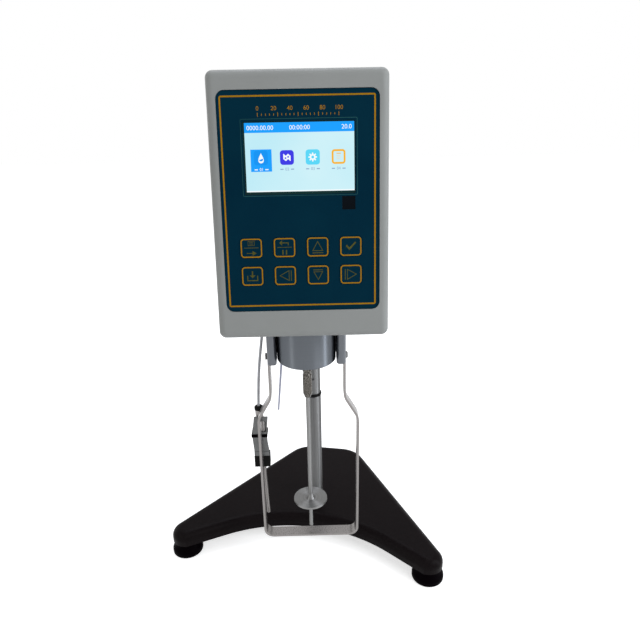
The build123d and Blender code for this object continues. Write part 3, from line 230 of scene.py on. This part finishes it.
# ------------------------------------------------------------------ front panel
# A screen-printed polyester film in a shallow recess: dark teal, with a gold border, gold key
# outlines and gold signs.  The inks are laid on as flat prints a few hundredths thick.
FACE_LEAN = math.radians(9.27)
INK = 0.00003
HALF_IN_MM = 500.0
TEAL = (0.0008, 0.0215, 0.0400, 1)
TEAL_DEEP = (0.0004, 0.0175, 0.0350, 1)
GOLD = (0.35, 0.168, 0.002, 1)
across = np.array([1.0, 0.0, 0.0])
up_face = np.array([0.0, math.sin(FACE_LEAN), math.cos(FACE_LEAN)])
outward = np.array([0.0, -math.cos(FACE_LEAN), math.sin(FACE_LEAN)])
face_axes = np.stack([across, up_face, outward])


def face_span(name):
    """A node's least and greatest reach across, up and out of the leaning face, in metres."""
    mesh = nodes[name].data
    points = np.empty(len(mesh.vertices) * 3)
    mesh.vertices.foreach_get("co", points)
    reach = points.reshape(-1, 3) @ face_axes.T
    return reach.min(axis=0), reach.max(axis=0)


def lower_edge(name):
    """The middle of the lower edge of a node's outer face, with its width and height."""
    low, high = face_span(name)
    start = np.array([(low[0] + high[0]) / 2, low[1], high[2]]) @ face_axes
    return start, (high[0] - low[0]) * 1000, (high[1] - low[1]) * 1000


film_origin, film_w, film_h = lower_edge("front_panel")

film, tree, shader = new_finish("printed_film", TEAL, 0.42, gloss=0.02)
tint(tree, shader, spread(tree, object_noise(tree, 30.0), 0.0, 1.0), TEAL_DEEP, TEAL)
emboss(tree, shader, object_noise(tree, 2600.0, 2.0), 0.08, 0.0001)
tree.links.new(spread(tree, object_noise(tree, 70.0), 0.36, 0.48), shader.inputs["Roughness"])
clad(film, "front_panel", *[f"key_{number}" for number in range(1, 9)])

gold_ink, tree, shader = new_finish("gold_ink", GOLD, 0.4, gloss=0.1)
tint(tree, shader, spread(tree, object_noise(tree, 900.0), 0.0, 1.0), (0.29, 0.14, 0.001, 1), GOLD)


def rounded_loop(width, height, radius, centre=(0, 0), corner_points=7):
    """Closed rounded rectangle: quarter circles about the four corner centres, joined by lines."""
    sweep = np.linspace(0, np.pi / 2, corner_points)
    quarter = np.arange(4)[:, None] * np.pi / 2
    signs = np.array([[1, 1], [-1, 1], [-1, -1], [1, -1]])
    corner = signs * [width / 2 - radius, height / 2 - radius]
    angle = quarter + sweep[None, :]
    loop = corner[:, None, :] + radius * np.stack([np.cos(angle), np.sin(angle)], axis=-1)
    return loop.reshape(-1, 2) + centre


def outline(loop, width):
    """Two loops that bound a line of this width just inside a closed loop."""
    centre = loop.mean(axis=0)
    step = np.roll(loop, -1, axis=0) - np.roll(loop, 1, axis=0)
    normal = np.stack([-step[:, 1], step[:, 0]], axis=1)
    normal /= np.linalg.norm(normal, axis=1)[:, None]
    inward = np.sign(np.sum((centre - loop) * normal, axis=1).sum())
    return [loop, loop + normal * inward * width]


def bar(width, height, centre=(0, 0)):
    """A plain rectangle as a closed loop."""
    return np.array([[-1, -1], [1, -1], [1, 1], [-1, 1]]) * [width / 2, height / 2] + centre


def on_face(origin, flat, height):
    """Carry flat coordinates (across, up, out) in millimetres to the leaning face in metres."""
    return (origin + flat[:, :1] * 0.001 * across + flat[:, 1:2] * 0.001 * up_face
            + (flat[:, 2:3] * 0.001 + height) * outward)


def print_on_face(name, loops, finish, body, lift=0.0, thick=INK, origin=None):
    """Flat print on the leaning face: closed loops in panel millimetres, filled by the odd-even
    rule as a flat curve, given the ink's thickness and made a mesh, then laid on the face."""
    curve = bpy.data.curves.new(name, "CURVE")
    curve.dimensions = "2D"
    curve.fill_mode = "BOTH"
    curve.extrude = thick * HALF_IN_MM
    for loop in loops:
        spline = curve.splines.new("POLY")
        spline.points.add(len(loop) - 1)
        flat = np.column_stack([loop, np.zeros(len(loop)), np.ones(len(loop))])
        spline.points.foreach_set("co", flat.ravel())
        spline.use_cyclic_u = True
    return lay_print(name, curve, finish, body, lift + thick / 2, origin)


def lay_print(name, curve, finish, body, lift, origin=None, centre=(0, 0)):
    """Make a flat curve or text a mesh and lay it on the face at a height above the film."""
    flat = bpy.data.objects.new(name + "_flat", curve)
    mesh = bpy.data.meshes.new_from_object(flat)
    bpy.data.objects.remove(flat)
    points = np.empty(len(mesh.vertices) * 3)
    mesh.vertices.foreach_get("co", points)
    points = points.reshape(-1, 3) + [centre[0], centre[1], 0]
    placed = on_face(film_origin if origin is None else origin, points, lift)
    mesh.vertices.foreach_set("co", placed.ravel())
    mesh.name = name
    mesh.materials.clear()
    mesh.materials.append(finish)
    mesh.update()
    piece = bpy.data.objects.new(name, mesh)
    bpy.context.scene.collection.objects.link(piece)
    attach(piece, body)
    return piece


def figures(name, text, size, centre, finish, body, lift=0.0, origin=None, align="CENTER"):
    """Plain numerals as a flat print, centred on a point of the panel."""
    words = bpy.data.curves.new(name, "FONT")
    words.body = text
    words.size = size
    words.align_x = align
    words.align_y = "CENTER"
    words.extrude = INK * HALF_IN_MM
    return lay_print(name, words, finish, body, lift + INK / 2, origin, centre)


BORDER_SIDE = 2.05
BORDER_END = 3.0
BORDER_W = film_w - 2 * BORDER_SIDE
BORDER_H = film_h - 2 * BORDER_END
BORDER_LINE = 0.95
border = rounded_loop(BORDER_W, BORDER_H, 1.2, (-0.25, film_h / 2))
print_on_face("gold_border", outline(border, BORDER_LINE), gold_ink, "head")

# a plain rule from 0 to 100 stands above the window, with a longer mark at each quarter
RULE_T = 119.6
RULE_LONG = 48.0
RULE_PARTS = 20
rule_marks = [bar(0.35, 2.2 if mark % 5 == 0 else 1.2,
                  (-RULE_LONG / 2 + mark * RULE_LONG / RULE_PARTS, RULE_T - 1.8))
              for mark in range(RULE_PARTS + 1)]
for mark, value in enumerate(("0", "20", "40", "60", "80", "100")):
    figures(f"rule_figure_{value}", value, 3.4, (-RULE_LONG / 2 + mark * RULE_LONG / 5, RULE_T + 1.6),
            gold_ink, "head")
print_on_face("rule_marks", rule_marks, gold_ink, "head")

# ------------------------------------------------------------------ keys
# Eight membrane keys under the film: a gold outline and a sign on each, riding on its key.
KEY_LINE = 0.75
SIGN_LINE = 0.4
INCIRCLE_UP = -0.1306    # of an arrowhead drawn at size 1
INCIRCLE_R = 0.6194


def arrow(turn, size=3.3):
    """Outlined arrowhead pointing up, turned by quarter turns, with a bar behind it.  The inner
    loop is the outer one drawn in towards the incircle's centre by the line's width."""
    head = np.array([[0, 1.15], [1.05, -0.75], [-1.05, -0.75]]) * size
    centre = np.array([0, INCIRCLE_UP]) * size
    inner = centre + (head - centre) * (1 - SIGN_LINE / (INCIRCLE_R * size))
    stripe = bar(2.0 * size, 0.5, (0, -1.1 * size))
    angle = turn * np.pi / 2
    spin = np.array([[np.cos(angle), np.sin(angle)], [-np.sin(angle), np.cos(angle)]])
    return [loop @ spin for loop in (head, inner, stripe)]


def shifted(loops, x, y):
    """Move a set of loops."""
    return [loop + [x, y] for loop in loops]


def page_sign():
    """A sheet coming out of a slot over a line and an outward arrow under it."""
    sheet = outline(bar(4.2, 3.0, (0, 3.0)), SIGN_LINE)
    lines = [bar(2.4, 0.35, (0, 3.5)), bar(2.4, 0.35, (0, 2.6))]
    rule = [bar(9.0, 0.35, (0, 0.2))]
    pointer = [np.array([[-3, -2.9], [0.6, -2.9], [0.6, -1.6], [3.2, -3.1], [0.6, -4.6], [0.6, -3.3],
                         [-3, -3.3]])]
    return sheet + lines + rule + pointer


def return_sign():
    """A bent return arrow over a line and two upright pause bars under it."""
    bent = [np.array([[-3.2, 2.9], [-1.4, 4.6], [-1.4, 3.2], [2.6, 3.2], [2.6, 1.3], [2.1, 1.3], [2.1, 2.6],
                      [-1.4, 2.6], [-1.4, 1.2]])]
    rule = [bar(9.0, 0.35, (0, 0.2))]
    pause = [bar(0.8, 2.9, (-1.1, -2.9)), bar(0.8, 2.9, (1.1, -2.9))]
    return bent + rule + pause


def tick_sign():
    """A tick mark."""
    return [np.array([[-3.2, 0.2], [-2.4, 1.0], [-0.9, -0.8], [2.6, 2.9], [3.3, 2.2], [-0.9, -2.4]])]


def store_sign():
    """An arrow down into an open tray."""
    pointer = np.array([[-0.4, 3.2], [0.4, 3.2], [0.4, 0.6], [1.8, 0.6], [0, -1.2], [-1.8, 0.6],
                        [-0.4, 0.6]])
    tray = np.array([[-3.4, 0.4], [-2.8, 0.4], [-2.8, -2.4], [2.8, -2.4], [2.8, 0.4], [3.4, 0.4], [3.4, -3.0],
                     [-3.4, -3.0]])
    return [pointer, tray]


sign_ink, tree, shader = new_finish("sign_ink", (0.072, 0.07, 0.012, 1), 0.42, gloss=0.1)
tint(tree, shader, spread(tree, object_noise(tree, 900.0), 0.0, 1.0), (0.06, 0.058, 0.010, 1),
     (0.085, 0.082, 0.014, 1))
signs = [page_sign(), return_sign(), arrow(0), tick_sign(), store_sign(), arrow(1), arrow(2, 2.9), arrow(3)]
for number, sign in enumerate(signs, start=1):
    origin, key_w, key_h = lower_edge(f"key_{number}")
    middle = (0, key_h / 2)
    ring = rounded_loop(key_w - 0.6, key_h - 0.6, 2.1, middle)
    print_on_face(f"key_outline_{number}", outline(ring, KEY_LINE), gold_ink, f"key_{number}", origin=origin)
    print_on_face(f"key_sign_{number}", shifted(sign, *middle), sign_ink, f"key_{number}", origin=origin)

# ------------------------------------------------------------------ display
# A back-lit colour display behind a clear window: a blue strip of numerals over a pale field
# with four plain signs.
PIC_W = 65.2
PIC_H = 40.0
PIC_X = 0.4
PIC_T = 93.4
STRIP_H = 5.7


def lit(name, colour, strength=1.0):
    """A self-lit screen colour."""
    finish, tree, shader = new_finish(name, (0, 0, 0, 1), 0.25, gloss=0.1)
    shader.inputs["Emission Color"].default_value = colour
    shader.inputs["Emission Strength"].default_value = strength
    return finish


ink_black, tree, shader = new_finish("window_black", (0.001, 0.026, 0.026, 1), 0.12, gloss=0.1)
tint(tree, shader, spread(tree, object_noise(tree, 50.0), 0.0, 1.0), (0.001, 0.021, 0.022, 1),
     (0.001, 0.032, 0.030, 1))
clad(ink_black, "display_glass")
glass_origin = lower_edge("display_glass")[0]
# the picture is placed in the film's own measures, on the window's outer face
screen_origin = film_origin + outward * np.dot(glass_origin - film_origin, outward)

pale, tree, shader = new_finish("screen_pale", (0, 0, 0, 1), 0.25, gloss=0.1)
wash = tree.nodes.new("ShaderNodeMix")
wash.data_type = "RGBA"
wash.inputs["A"].default_value = (0.50, 0.82, 0.92, 1)
wash.inputs["B"].default_value = (0.66, 0.90, 0.95, 1)
tree.links.new(spread(tree, object_noise(tree, 14.0), 0.0, 1.0), wash.inputs["Factor"])
tree.links.new(wash.outputs["Result"], shader.inputs["Emission Color"])
shader.inputs["Emission Strength"].default_value = 1.0
blue = lit("screen_blue", (0.006, 0.35, 1.0, 1))
white = lit("screen_white", (0.92, 0.98, 1.0, 1))
deep_blue = lit("screen_deep_blue", (0.003, 0.295, 0.90, 1))
violet = lit("screen_violet", (0.045, 0.04, 0.78, 1))
cyan = lit("screen_cyan", (0.10, 0.68, 0.93, 1))
orange = lit("screen_orange", (0.93, 0.47, 0.03, 1))
pale_orange = lit("screen_pale_orange", (0.85, 0.70, 0.48, 1))
grey = lit("screen_grey", (0.26, 0.38, 0.58, 1))


def screen_print(name, loops, finish, layer):
    """A printed layer of the screen picture."""
    return print_on_face(name, loops, finish, "head", layer * INK, origin=screen_origin)


top = PIC_T + PIC_H / 2
screen_print("screen_field", [rounded_loop(PIC_W, PIC_H, 0.5, (PIC_X, PIC_T))], pale, 0)
screen_print("screen_strip", [bar(PIC_W, STRIP_H, (PIC_X, top - STRIP_H / 2))], blue, 1)
screen_print("screen_edge_low", [bar(PIC_W, 0.7, (PIC_X, top - PIC_H + 0.4))], white, 1)
frame_line, tree, shader = new_finish("window_line", (0.010, 0.066, 0.070, 1), 0.4, gloss=0.1)
tint(tree, shader, spread(tree, object_noise(tree, 60.0), 0.0, 1.0), (0.006, 0.048, 0.052, 1),
     (0.013, 0.078, 0.082, 1))
print_on_face("window_outline", outline(rounded_loop(69.4, 44.8, 0.8, (PIC_X - 0.2, PIC_T - 0.2)), 0.35),
              frame_line, "head")
for place, text, x, align in (("left", "0000.00.00", -30.9, "LEFT"), ("middle", "00:00:00", 0.6, "CENTER"),
                              ("right", "20.0", 31.6, "RIGHT")):
    figures(f"strip_{place}", text, 3.6, (x, top - STRIP_H / 2 - 0.2), white, "head", 2 * INK,
            screen_origin, align)

TILE_T = 93.3
TILE_R = 1.8
MEASURE_X = -22.8
GRAPH_X = -7.4
SETTINGS_X = 8.05
RECORDS_X = 23.55
screen_print("tile_measure", [bar(12.6, 12.9, (MEASURE_X, 91.75))], blue, 1)
screen_print("tile_inner", [rounded_loop(8.3, 8.4, 1.6, (-23.0, TILE_T))], deep_blue, 2)
droplet_angle = np.linspace(0, 2 * np.pi, 40, endpoint=False)
droplet = np.stack([2.3 * np.sin(droplet_angle) * np.sin(droplet_angle / 2) ** 1.5,
                    3.0 * np.cos(droplet_angle)], axis=1)
screen_print("sign_drop", [droplet + [-22.9, 93.2]], white, 3)
arc = np.linspace(0, np.pi, 12)
level_line = np.stack([1.25 * np.cos(arc), 0.25 * np.sin(2 * arc)], axis=1)
belly = np.stack([-1.25 * np.cos(arc), -1.15 * np.sin(arc)], axis=1)[1:-1]
screen_print("drop_level", [np.concatenate([level_line, belly]) + [-22.9, 92.5]], deep_blue, 4)

screen_print("tile_graph", [rounded_loop(8.3, 8.5, TILE_R, (GRAPH_X, TILE_T))], violet, 1)
wave_x = np.linspace(-2.2, 2.2, 24)
wave = 0.5 * np.sin(wave_x * 2.3)
flag = np.concatenate([np.stack([wave_x, 1.6 + wave], axis=1), np.stack([wave_x, wave - 1.5], axis=1)[::-1]])
gap = 0.55 * np.stack([np.cos(droplet_angle), 0.9 * np.sin(droplet_angle)], axis=1)
screen_print("sign_graph", shifted([flag, gap + [-0.85, -0.35], gap + [0.75, 0.35]], GRAPH_X, TILE_T),
             white, 2)

screen_print("tile_settings", [rounded_loop(8.5, 8.8, TILE_R, (SETTINGS_X, TILE_T))], cyan, 1)
gear_angle = np.linspace(0, 2 * np.pi, 96, endpoint=False)
gear_radius = 2.15 + 0.45 * np.tanh(5 * np.cos(8 * gear_angle))
gear = np.stack([gear_radius * np.cos(gear_angle), gear_radius * np.sin(gear_angle)], axis=1)
hub = 0.85 * np.stack([np.cos(gear_angle), np.sin(gear_angle)], axis=1)
screen_print("sign_gear", shifted([gear, hub], SETTINGS_X, TILE_T), white, 2)

screen_print("tile_records", outline(rounded_loop(8.3, 8.5, TILE_R, (RECORDS_X, TILE_T)), 1.15), orange, 1)
screen_print("sign_records", [bar(2.7, 0.5, (23.6, 95.2))], orange, 1)
screen_print("sign_records_faint", [bar(2.4, 0.4, (23.4, 94.0)), bar(2.7, 0.4, (23.6, 93.0)),
                                    bar(2.1, 0.4, (23.3, 92.0))], pale_orange, 1)

LABEL_T = 86.5
DASH_OUT = 3.2
for place, text, x, ink, layer in (("measure", "01", MEASURE_X, white, 2), ("graph", "02", GRAPH_X, grey, 1),
                                   ("settings", "03", SETTINGS_X, grey, 1),
                                   ("records", "04", RECORDS_X, grey, 1)):
    figures(f"label_{place}", text, 2.4, (x, LABEL_T), ink, "head", layer * INK, screen_origin)
    dashes = [bar(1.9, 0.6, (x + side * DASH_OUT, LABEL_T)) for side in (-1, 1)]
    screen_print(f"label_lines_{place}", dashes, ink, layer)

spot, tree, shader = new_finish("smoked_window", (0.0015, 0.004, 0.006, 1), 0.18, gloss=0.04)
tint(tree, shader, spread(tree, object_noise(tree, 80.0), 0.0, 1.0), (0.001, 0.002, 0.003, 1),
     (0.002, 0.004, 0.007, 1))
clad(spot, "spot_window")

# ------------------------------------------------------------------ boss, guard and spindle
# Turned stainless boss with its two milled guard lugs, a guard bent from brushed stainless strip,
# a knurled coupling nut and a turned spindle.
axis_x, axis_y = [(low + high) / 2 for low, high in zip(*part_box("spindle"))][:2]


def turned_rings(tree, scale):
    """A noise that depends only on the distance from the spindle's axis, as lathe marks do."""
    place = tree.nodes.new("ShaderNodeTexCoord")
    from_axis = tree.nodes.new("ShaderNodeVectorMath")
    from_axis.operation = "SUBTRACT"
    from_axis.inputs[1].default_value = (axis_x, axis_y, 0)
    flat = tree.nodes.new("ShaderNodeVectorMath")
    flat.operation = "MULTIPLY"
    flat.inputs[1].default_value = (1, 1, 0)
    distance = tree.nodes.new("ShaderNodeVectorMath")
    distance.operation = "LENGTH"
    noise = tree.nodes.new("ShaderNodeTexNoise")
    noise.noise_dimensions = "1D"
    noise.inputs["Scale"].default_value = scale
    tree.links.new(place.outputs["Object"], from_axis.inputs[0])
    tree.links.new(from_axis.outputs["Vector"], flat.inputs[0])
    tree.links.new(flat.outputs["Vector"], distance.inputs[0])
    tree.links.new(distance.outputs["Value"], noise.inputs["W"])
    return noise.outputs["Fac"]


turned, tree, shader = new_finish("turned_steel", (0.136, 0.148, 0.164, 1), 0.42, 1.0)
marks_round(shader, 0.95, 0.3)
turning = object_noise(tree, 900.0, 2.0, (0.03, 0.03, 1))
tree.links.new(spread(tree, turning, 0.40, 0.44), shader.inputs["Roughness"])
tint(tree, shader, spread(tree, turning, 0.0, 1.0), (0.132, 0.144, 0.159, 1), (0.14, 0.152, 0.169, 1))
clad(turned, "spindle_boss", "drive_shaft")

milled, tree, shader = new_finish("milled_steel", (0.12, 0.128, 0.14, 1), 0.3, 0.85)
milling = object_noise(tree, 700.0, 2.0, (1, 1, 0.05))
tree.links.new(spread(tree, milling, 0.26, 0.34), shader.inputs["Roughness"])
tint(tree, shader, spread(tree, milling, 0.0, 1.0), (0.11, 0.117, 0.128, 1), (0.13, 0.138, 0.15, 1))
clad(milled, "guard_lug_left", "guard_lug_right")

knurled, tree, shader = new_finish("knurled_steel", (0.11, 0.102, 0.09, 1), 0.32, 1.0)
knurl_height_and_painted_shade = object_noise(tree, 1300.0, 1.0)
# the nut's colour follows the knurl's bump height: painted shade, near black, in its hollows and painted
# highlight on its crests
tint(tree, shader, spread(tree, knurl_height_and_painted_shade, 0.0, 1.0), (0.025, 0.021, 0.016, 1), (0.17, 0.16, 0.145, 1))
emboss(tree, shader, knurl_height_and_painted_shade, 0.25, 0.0002)
clad(knurled, "coupling_nut")

strip_steel, tree, shader = new_finish("strip_steel", (0.23, 0.217, 0.211, 1), 0.3, 0.85)
brushing = object_noise(tree, 1200.0, 2.0, (1, 1, 0.02))
tree.links.new(spread(tree, brushing, 0.25, 0.35), shader.inputs["Roughness"])
tint(tree, shader, spread(tree, brushing, 0.0, 1.0), (0.21, 0.198, 0.192, 1), (0.25, 0.237, 0.23, 1))
clad(strip_steel, "guard", "chassis", "motor", "probe")

polished, tree, shader = new_finish("polished_steel", (0.23, 0.23, 0.229, 1), 0.4, 0.95)
marks_round(shader, 0.9, 0.5)
rings = turned_rings(tree, 900.0)
tree.links.new(spread(tree, rings, 0.38, 0.43), shader.inputs["Roughness"])
tint(tree, shader, spread(tree, rings, 0.0, 1.0), (0.20, 0.20, 0.199, 1), (0.26, 0.26, 0.258, 1))
clad(polished, "spindle")

nickel, tree, shader = new_finish("nickel_plate", (0.12, 0.122, 0.122, 1), 0.34, 0.7)
plating = object_noise(tree, 500.0, 2.0, (1, 1, 0.2))
tree.links.new(spread(tree, plating, 0.28, 0.4), shader.inputs["Roughness"])
tint(tree, shader, spread(tree, plating, 0.0, 1.0), (0.10, 0.102, 0.102, 1), (0.14, 0.143, 0.143, 1))
clad(nickel, "clip_plate", "clip_jaw")

# ------------------------------------------------------------------ probe lead and tie tail
# A thin silicone-sheathed lead hangs from a grommet under the housing to the probe's collar.
# Beside it hangs the tapered end of a natural nylon tie.
LEAD_ROUTE = np.array([(-30.8, 12.0, 243.15), (-32.2, 11.6, 231.0), (-34.3, 10.8, 215.0),
                       (-36.8, 10.2, 197.0), (-38.6, 10.0, 178.0), (-39.4, 10.0, 160.1)])
LEAD_ROUTE = LEAD_ROUTE * 0.001 + [axis_x, axis_y, 0]
LEAD_ACROSS = 0.0022

lead_finish, tree, shader = new_finish("grey_silicone", (0.40, 0.41, 0.43, 1), 0.4)
tint(tree, shader, spread(tree, object_noise(tree, 150.0), 0.0, 1.0), (0.36, 0.37, 0.39, 1),
     (0.44, 0.45, 0.48, 1))
lead_curve = bpy.data.curves.new("lead", "CURVE")
lead_curve.dimensions = "3D"
lead_curve.bevel_depth = LEAD_ACROSS / 2
lead_curve.bevel_resolution = 4
lead_curve.use_fill_caps = True
line = lead_curve.splines.new("NURBS")
line.points.add(len(LEAD_ROUTE) - 1)
line.points.foreach_set("co", np.column_stack([LEAD_ROUTE, np.ones(len(LEAD_ROUTE))]).ravel())
line.order_u = 3
line.use_endpoint_u = True
line.resolution_u = 12
lead_curve.materials.append(lead_finish)
lead = bpy.data.objects.new("lead", lead_curve)
bpy.context.scene.collection.objects.link(lead)
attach(lead, "head")
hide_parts("probe_lead")

nylon, tree, shader = new_finish("nylon", (0.44, 0.46, 0.58, 1), 0.35)
tint(tree, shader, spread(tree, object_noise(tree, 200.0), 0.0, 1.0), (0.40, 0.42, 0.54, 1),
     (0.48, 0.50, 0.62, 1))
clad(nylon, "tie_tail")

# ------------------------------------------------------------------ boards inside the head
# Green fibre boards, hidden behind the film.
board, tree, shader = new_finish("fibre_board", (0.01, 0.08, 0.03, 1), 0.5)
tint(tree, shader, spread(tree, object_noise(tree, 300.0), 0.0, 1.0), (0.008, 0.07, 0.025, 1),
     (0.012, 0.09, 0.035, 1))
clad(board, "display_module", "keypad_board")

# ------------------------------------------------------------------ studio
# A pale floor and soft lamps, and the camera a little below the head's top, looking down.
CAMERA_ASIDE = 0.00618      # from the spindle's axis
CAMERA_BACK = 0.39574
CAMERA_UP = 0.39508
CAMERA_AT = (axis_x + CAMERA_ASIDE, axis_y - CAMERA_BACK, CAMERA_UP)
PITCH = math.radians(21.89)
YAW = math.radians(0.63)
ROLL = math.radians(1.06)
FOCAL = 583.93
FRAME_PIXELS = 640
SENSOR = 36.0

level = Vector((math.sin(YAW), math.cos(YAW), 0))
sideways = Vector((math.cos(YAW), -math.sin(YAW), 0))
forward = level * math.cos(PITCH) - Vector((0, 0, math.sin(PITCH)))
upward = level * math.sin(PITCH) + Vector((0, 0, math.cos(PITCH)))
right = sideways * math.cos(ROLL) - upward * math.sin(ROLL)
top_edge = sideways * math.sin(ROLL) + upward * math.cos(ROLL)
camera_data = bpy.data.cameras.new("camera")
camera_data.sensor_width = SENSOR
camera_data.lens = SENSOR * FOCAL / FRAME_PIXELS
camera_data.clip_start = 0.01
camera = bpy.data.objects.new("camera", camera_data)
turn = Matrix((right, top_edge, -forward)).transposed().to_4x4()
camera.matrix_world = Matrix.Translation(CAMERA_AT) @ turn
bpy.context.scene.collection.objects.link(camera)
bpy.context.scene.camera = camera

floor_mesh = bpy.data.meshes.new("floor")
FLOOR_HALF = 3.0
FLOOR_GLOW = 0.6
ROOM_LIGHT = 0.5
floor_mesh.from_pydata([(-FLOOR_HALF, -FLOOR_HALF, 0), (FLOOR_HALF, -FLOOR_HALF, 0),
                        (FLOOR_HALF, FLOOR_HALF, 0), (-FLOOR_HALF, FLOOR_HALF, 0)], [], [(0, 1, 2, 3)])
floor = bpy.data.objects.new("floor", floor_mesh)
bpy.context.scene.collection.objects.link(floor)


def sees_background(tree):
    """One for rays from the camera, off metal or through glass, else nothing."""
    path = tree.nodes.new("ShaderNodeLightPath")
    seen = path.outputs["Is Camera Ray"]
    for kind in ("Is Glossy Ray", "Is Transmission Ray"):
        either = tree.nodes.new("ShaderNodeMath")
        either.operation = "MAXIMUM"
        tree.links.new(seen, either.inputs[0])
        tree.links.new(path.outputs[kind], either.inputs[1])
        seen = either.outputs[0]
    return seen


# the floor is pale card that keeps a faint shadow, and white where it is lit, to the camera and in
# metal and glass alike
floor_finish, tree, shader = new_finish("floor", (0.8, 0.8, 0.8, 1), 0.9)
glow = tree.nodes.new("ShaderNodeMath")
glow.operation = "MULTIPLY"
glow.inputs[1].default_value = FLOOR_GLOW
tree.links.new(sees_background(tree), glow.inputs[0])
shader.inputs["Emission Color"].default_value = (1, 1, 1, 1)
tree.links.new(glow.outputs[0], shader.inputs["Emission Strength"])
floor_mesh.materials.append(floor_finish)

# the room is white to the camera and in metal and glass, and soft light for matt surfaces
world = bpy.data.worlds.new("studio")
bpy.context.scene.world = world
world.use_nodes = True
sky = world.node_tree
room = sky.nodes.new("ShaderNodeMix")
room.data_type = "RGBA"
room.inputs["A"].default_value = (ROOM_LIGHT, ROOM_LIGHT, ROOM_LIGHT, 1)
room.inputs["B"].default_value = (1, 1, 1, 1)
sky.links.new(sees_background(sky), room.inputs["Factor"])
sky.links.new(room.outputs["Result"], sky.nodes["Background"].inputs["Color"])
bpy.context.scene.view_settings.view_transform = "Standard"


def soft_lamp(name, place, aim, wide, tall, watts, colour=(1, 1, 1)):
    """A soft box at a place, aimed at a point."""
    lamp = bpy.data.lights.new(name, "AREA")
    lamp.shape = "RECTANGLE"
    lamp.size = wide
    lamp.size_y = tall
    lamp.energy = watts
    lamp.color = colour
    body = bpy.data.objects.new(name, lamp)
    body.location = place
    body.rotation_euler = (Vector(aim) - Vector(place)).to_track_quat("-Z", "Y").to_euler()
    bpy.context.scene.collection.objects.link(body)


soft_lamp("key_lamp", (0.8, -0.75, 0.9), (0, 0, 0.25), 0.6, 0.6, 5.2, (0.96, 0.98, 1.0))
soft_lamp("fill_lamp", (-1.1, -0.8, 0.6), (0, 0, 0.3), 0.25, 1.2, 2.6, (1.0, 0.99, 0.96))
soft_lamp("side_lamp", (1.05, -0.34, 0.6), (0, 0, 0.3), 0.12, 1.2, 6, (0.9, 0.94, 1.0))
soft_lamp("top_lamp", (0.0, 0.4, 1.5), (0, 0, 0.3), 0.9, 0.9, 9, (0.9, 0.92, 1.0))
soft_lamp("back_lamp", (-1.5, 0.9, 0.6), (0, 0, 0.2), 0.8, 0.8, 3)
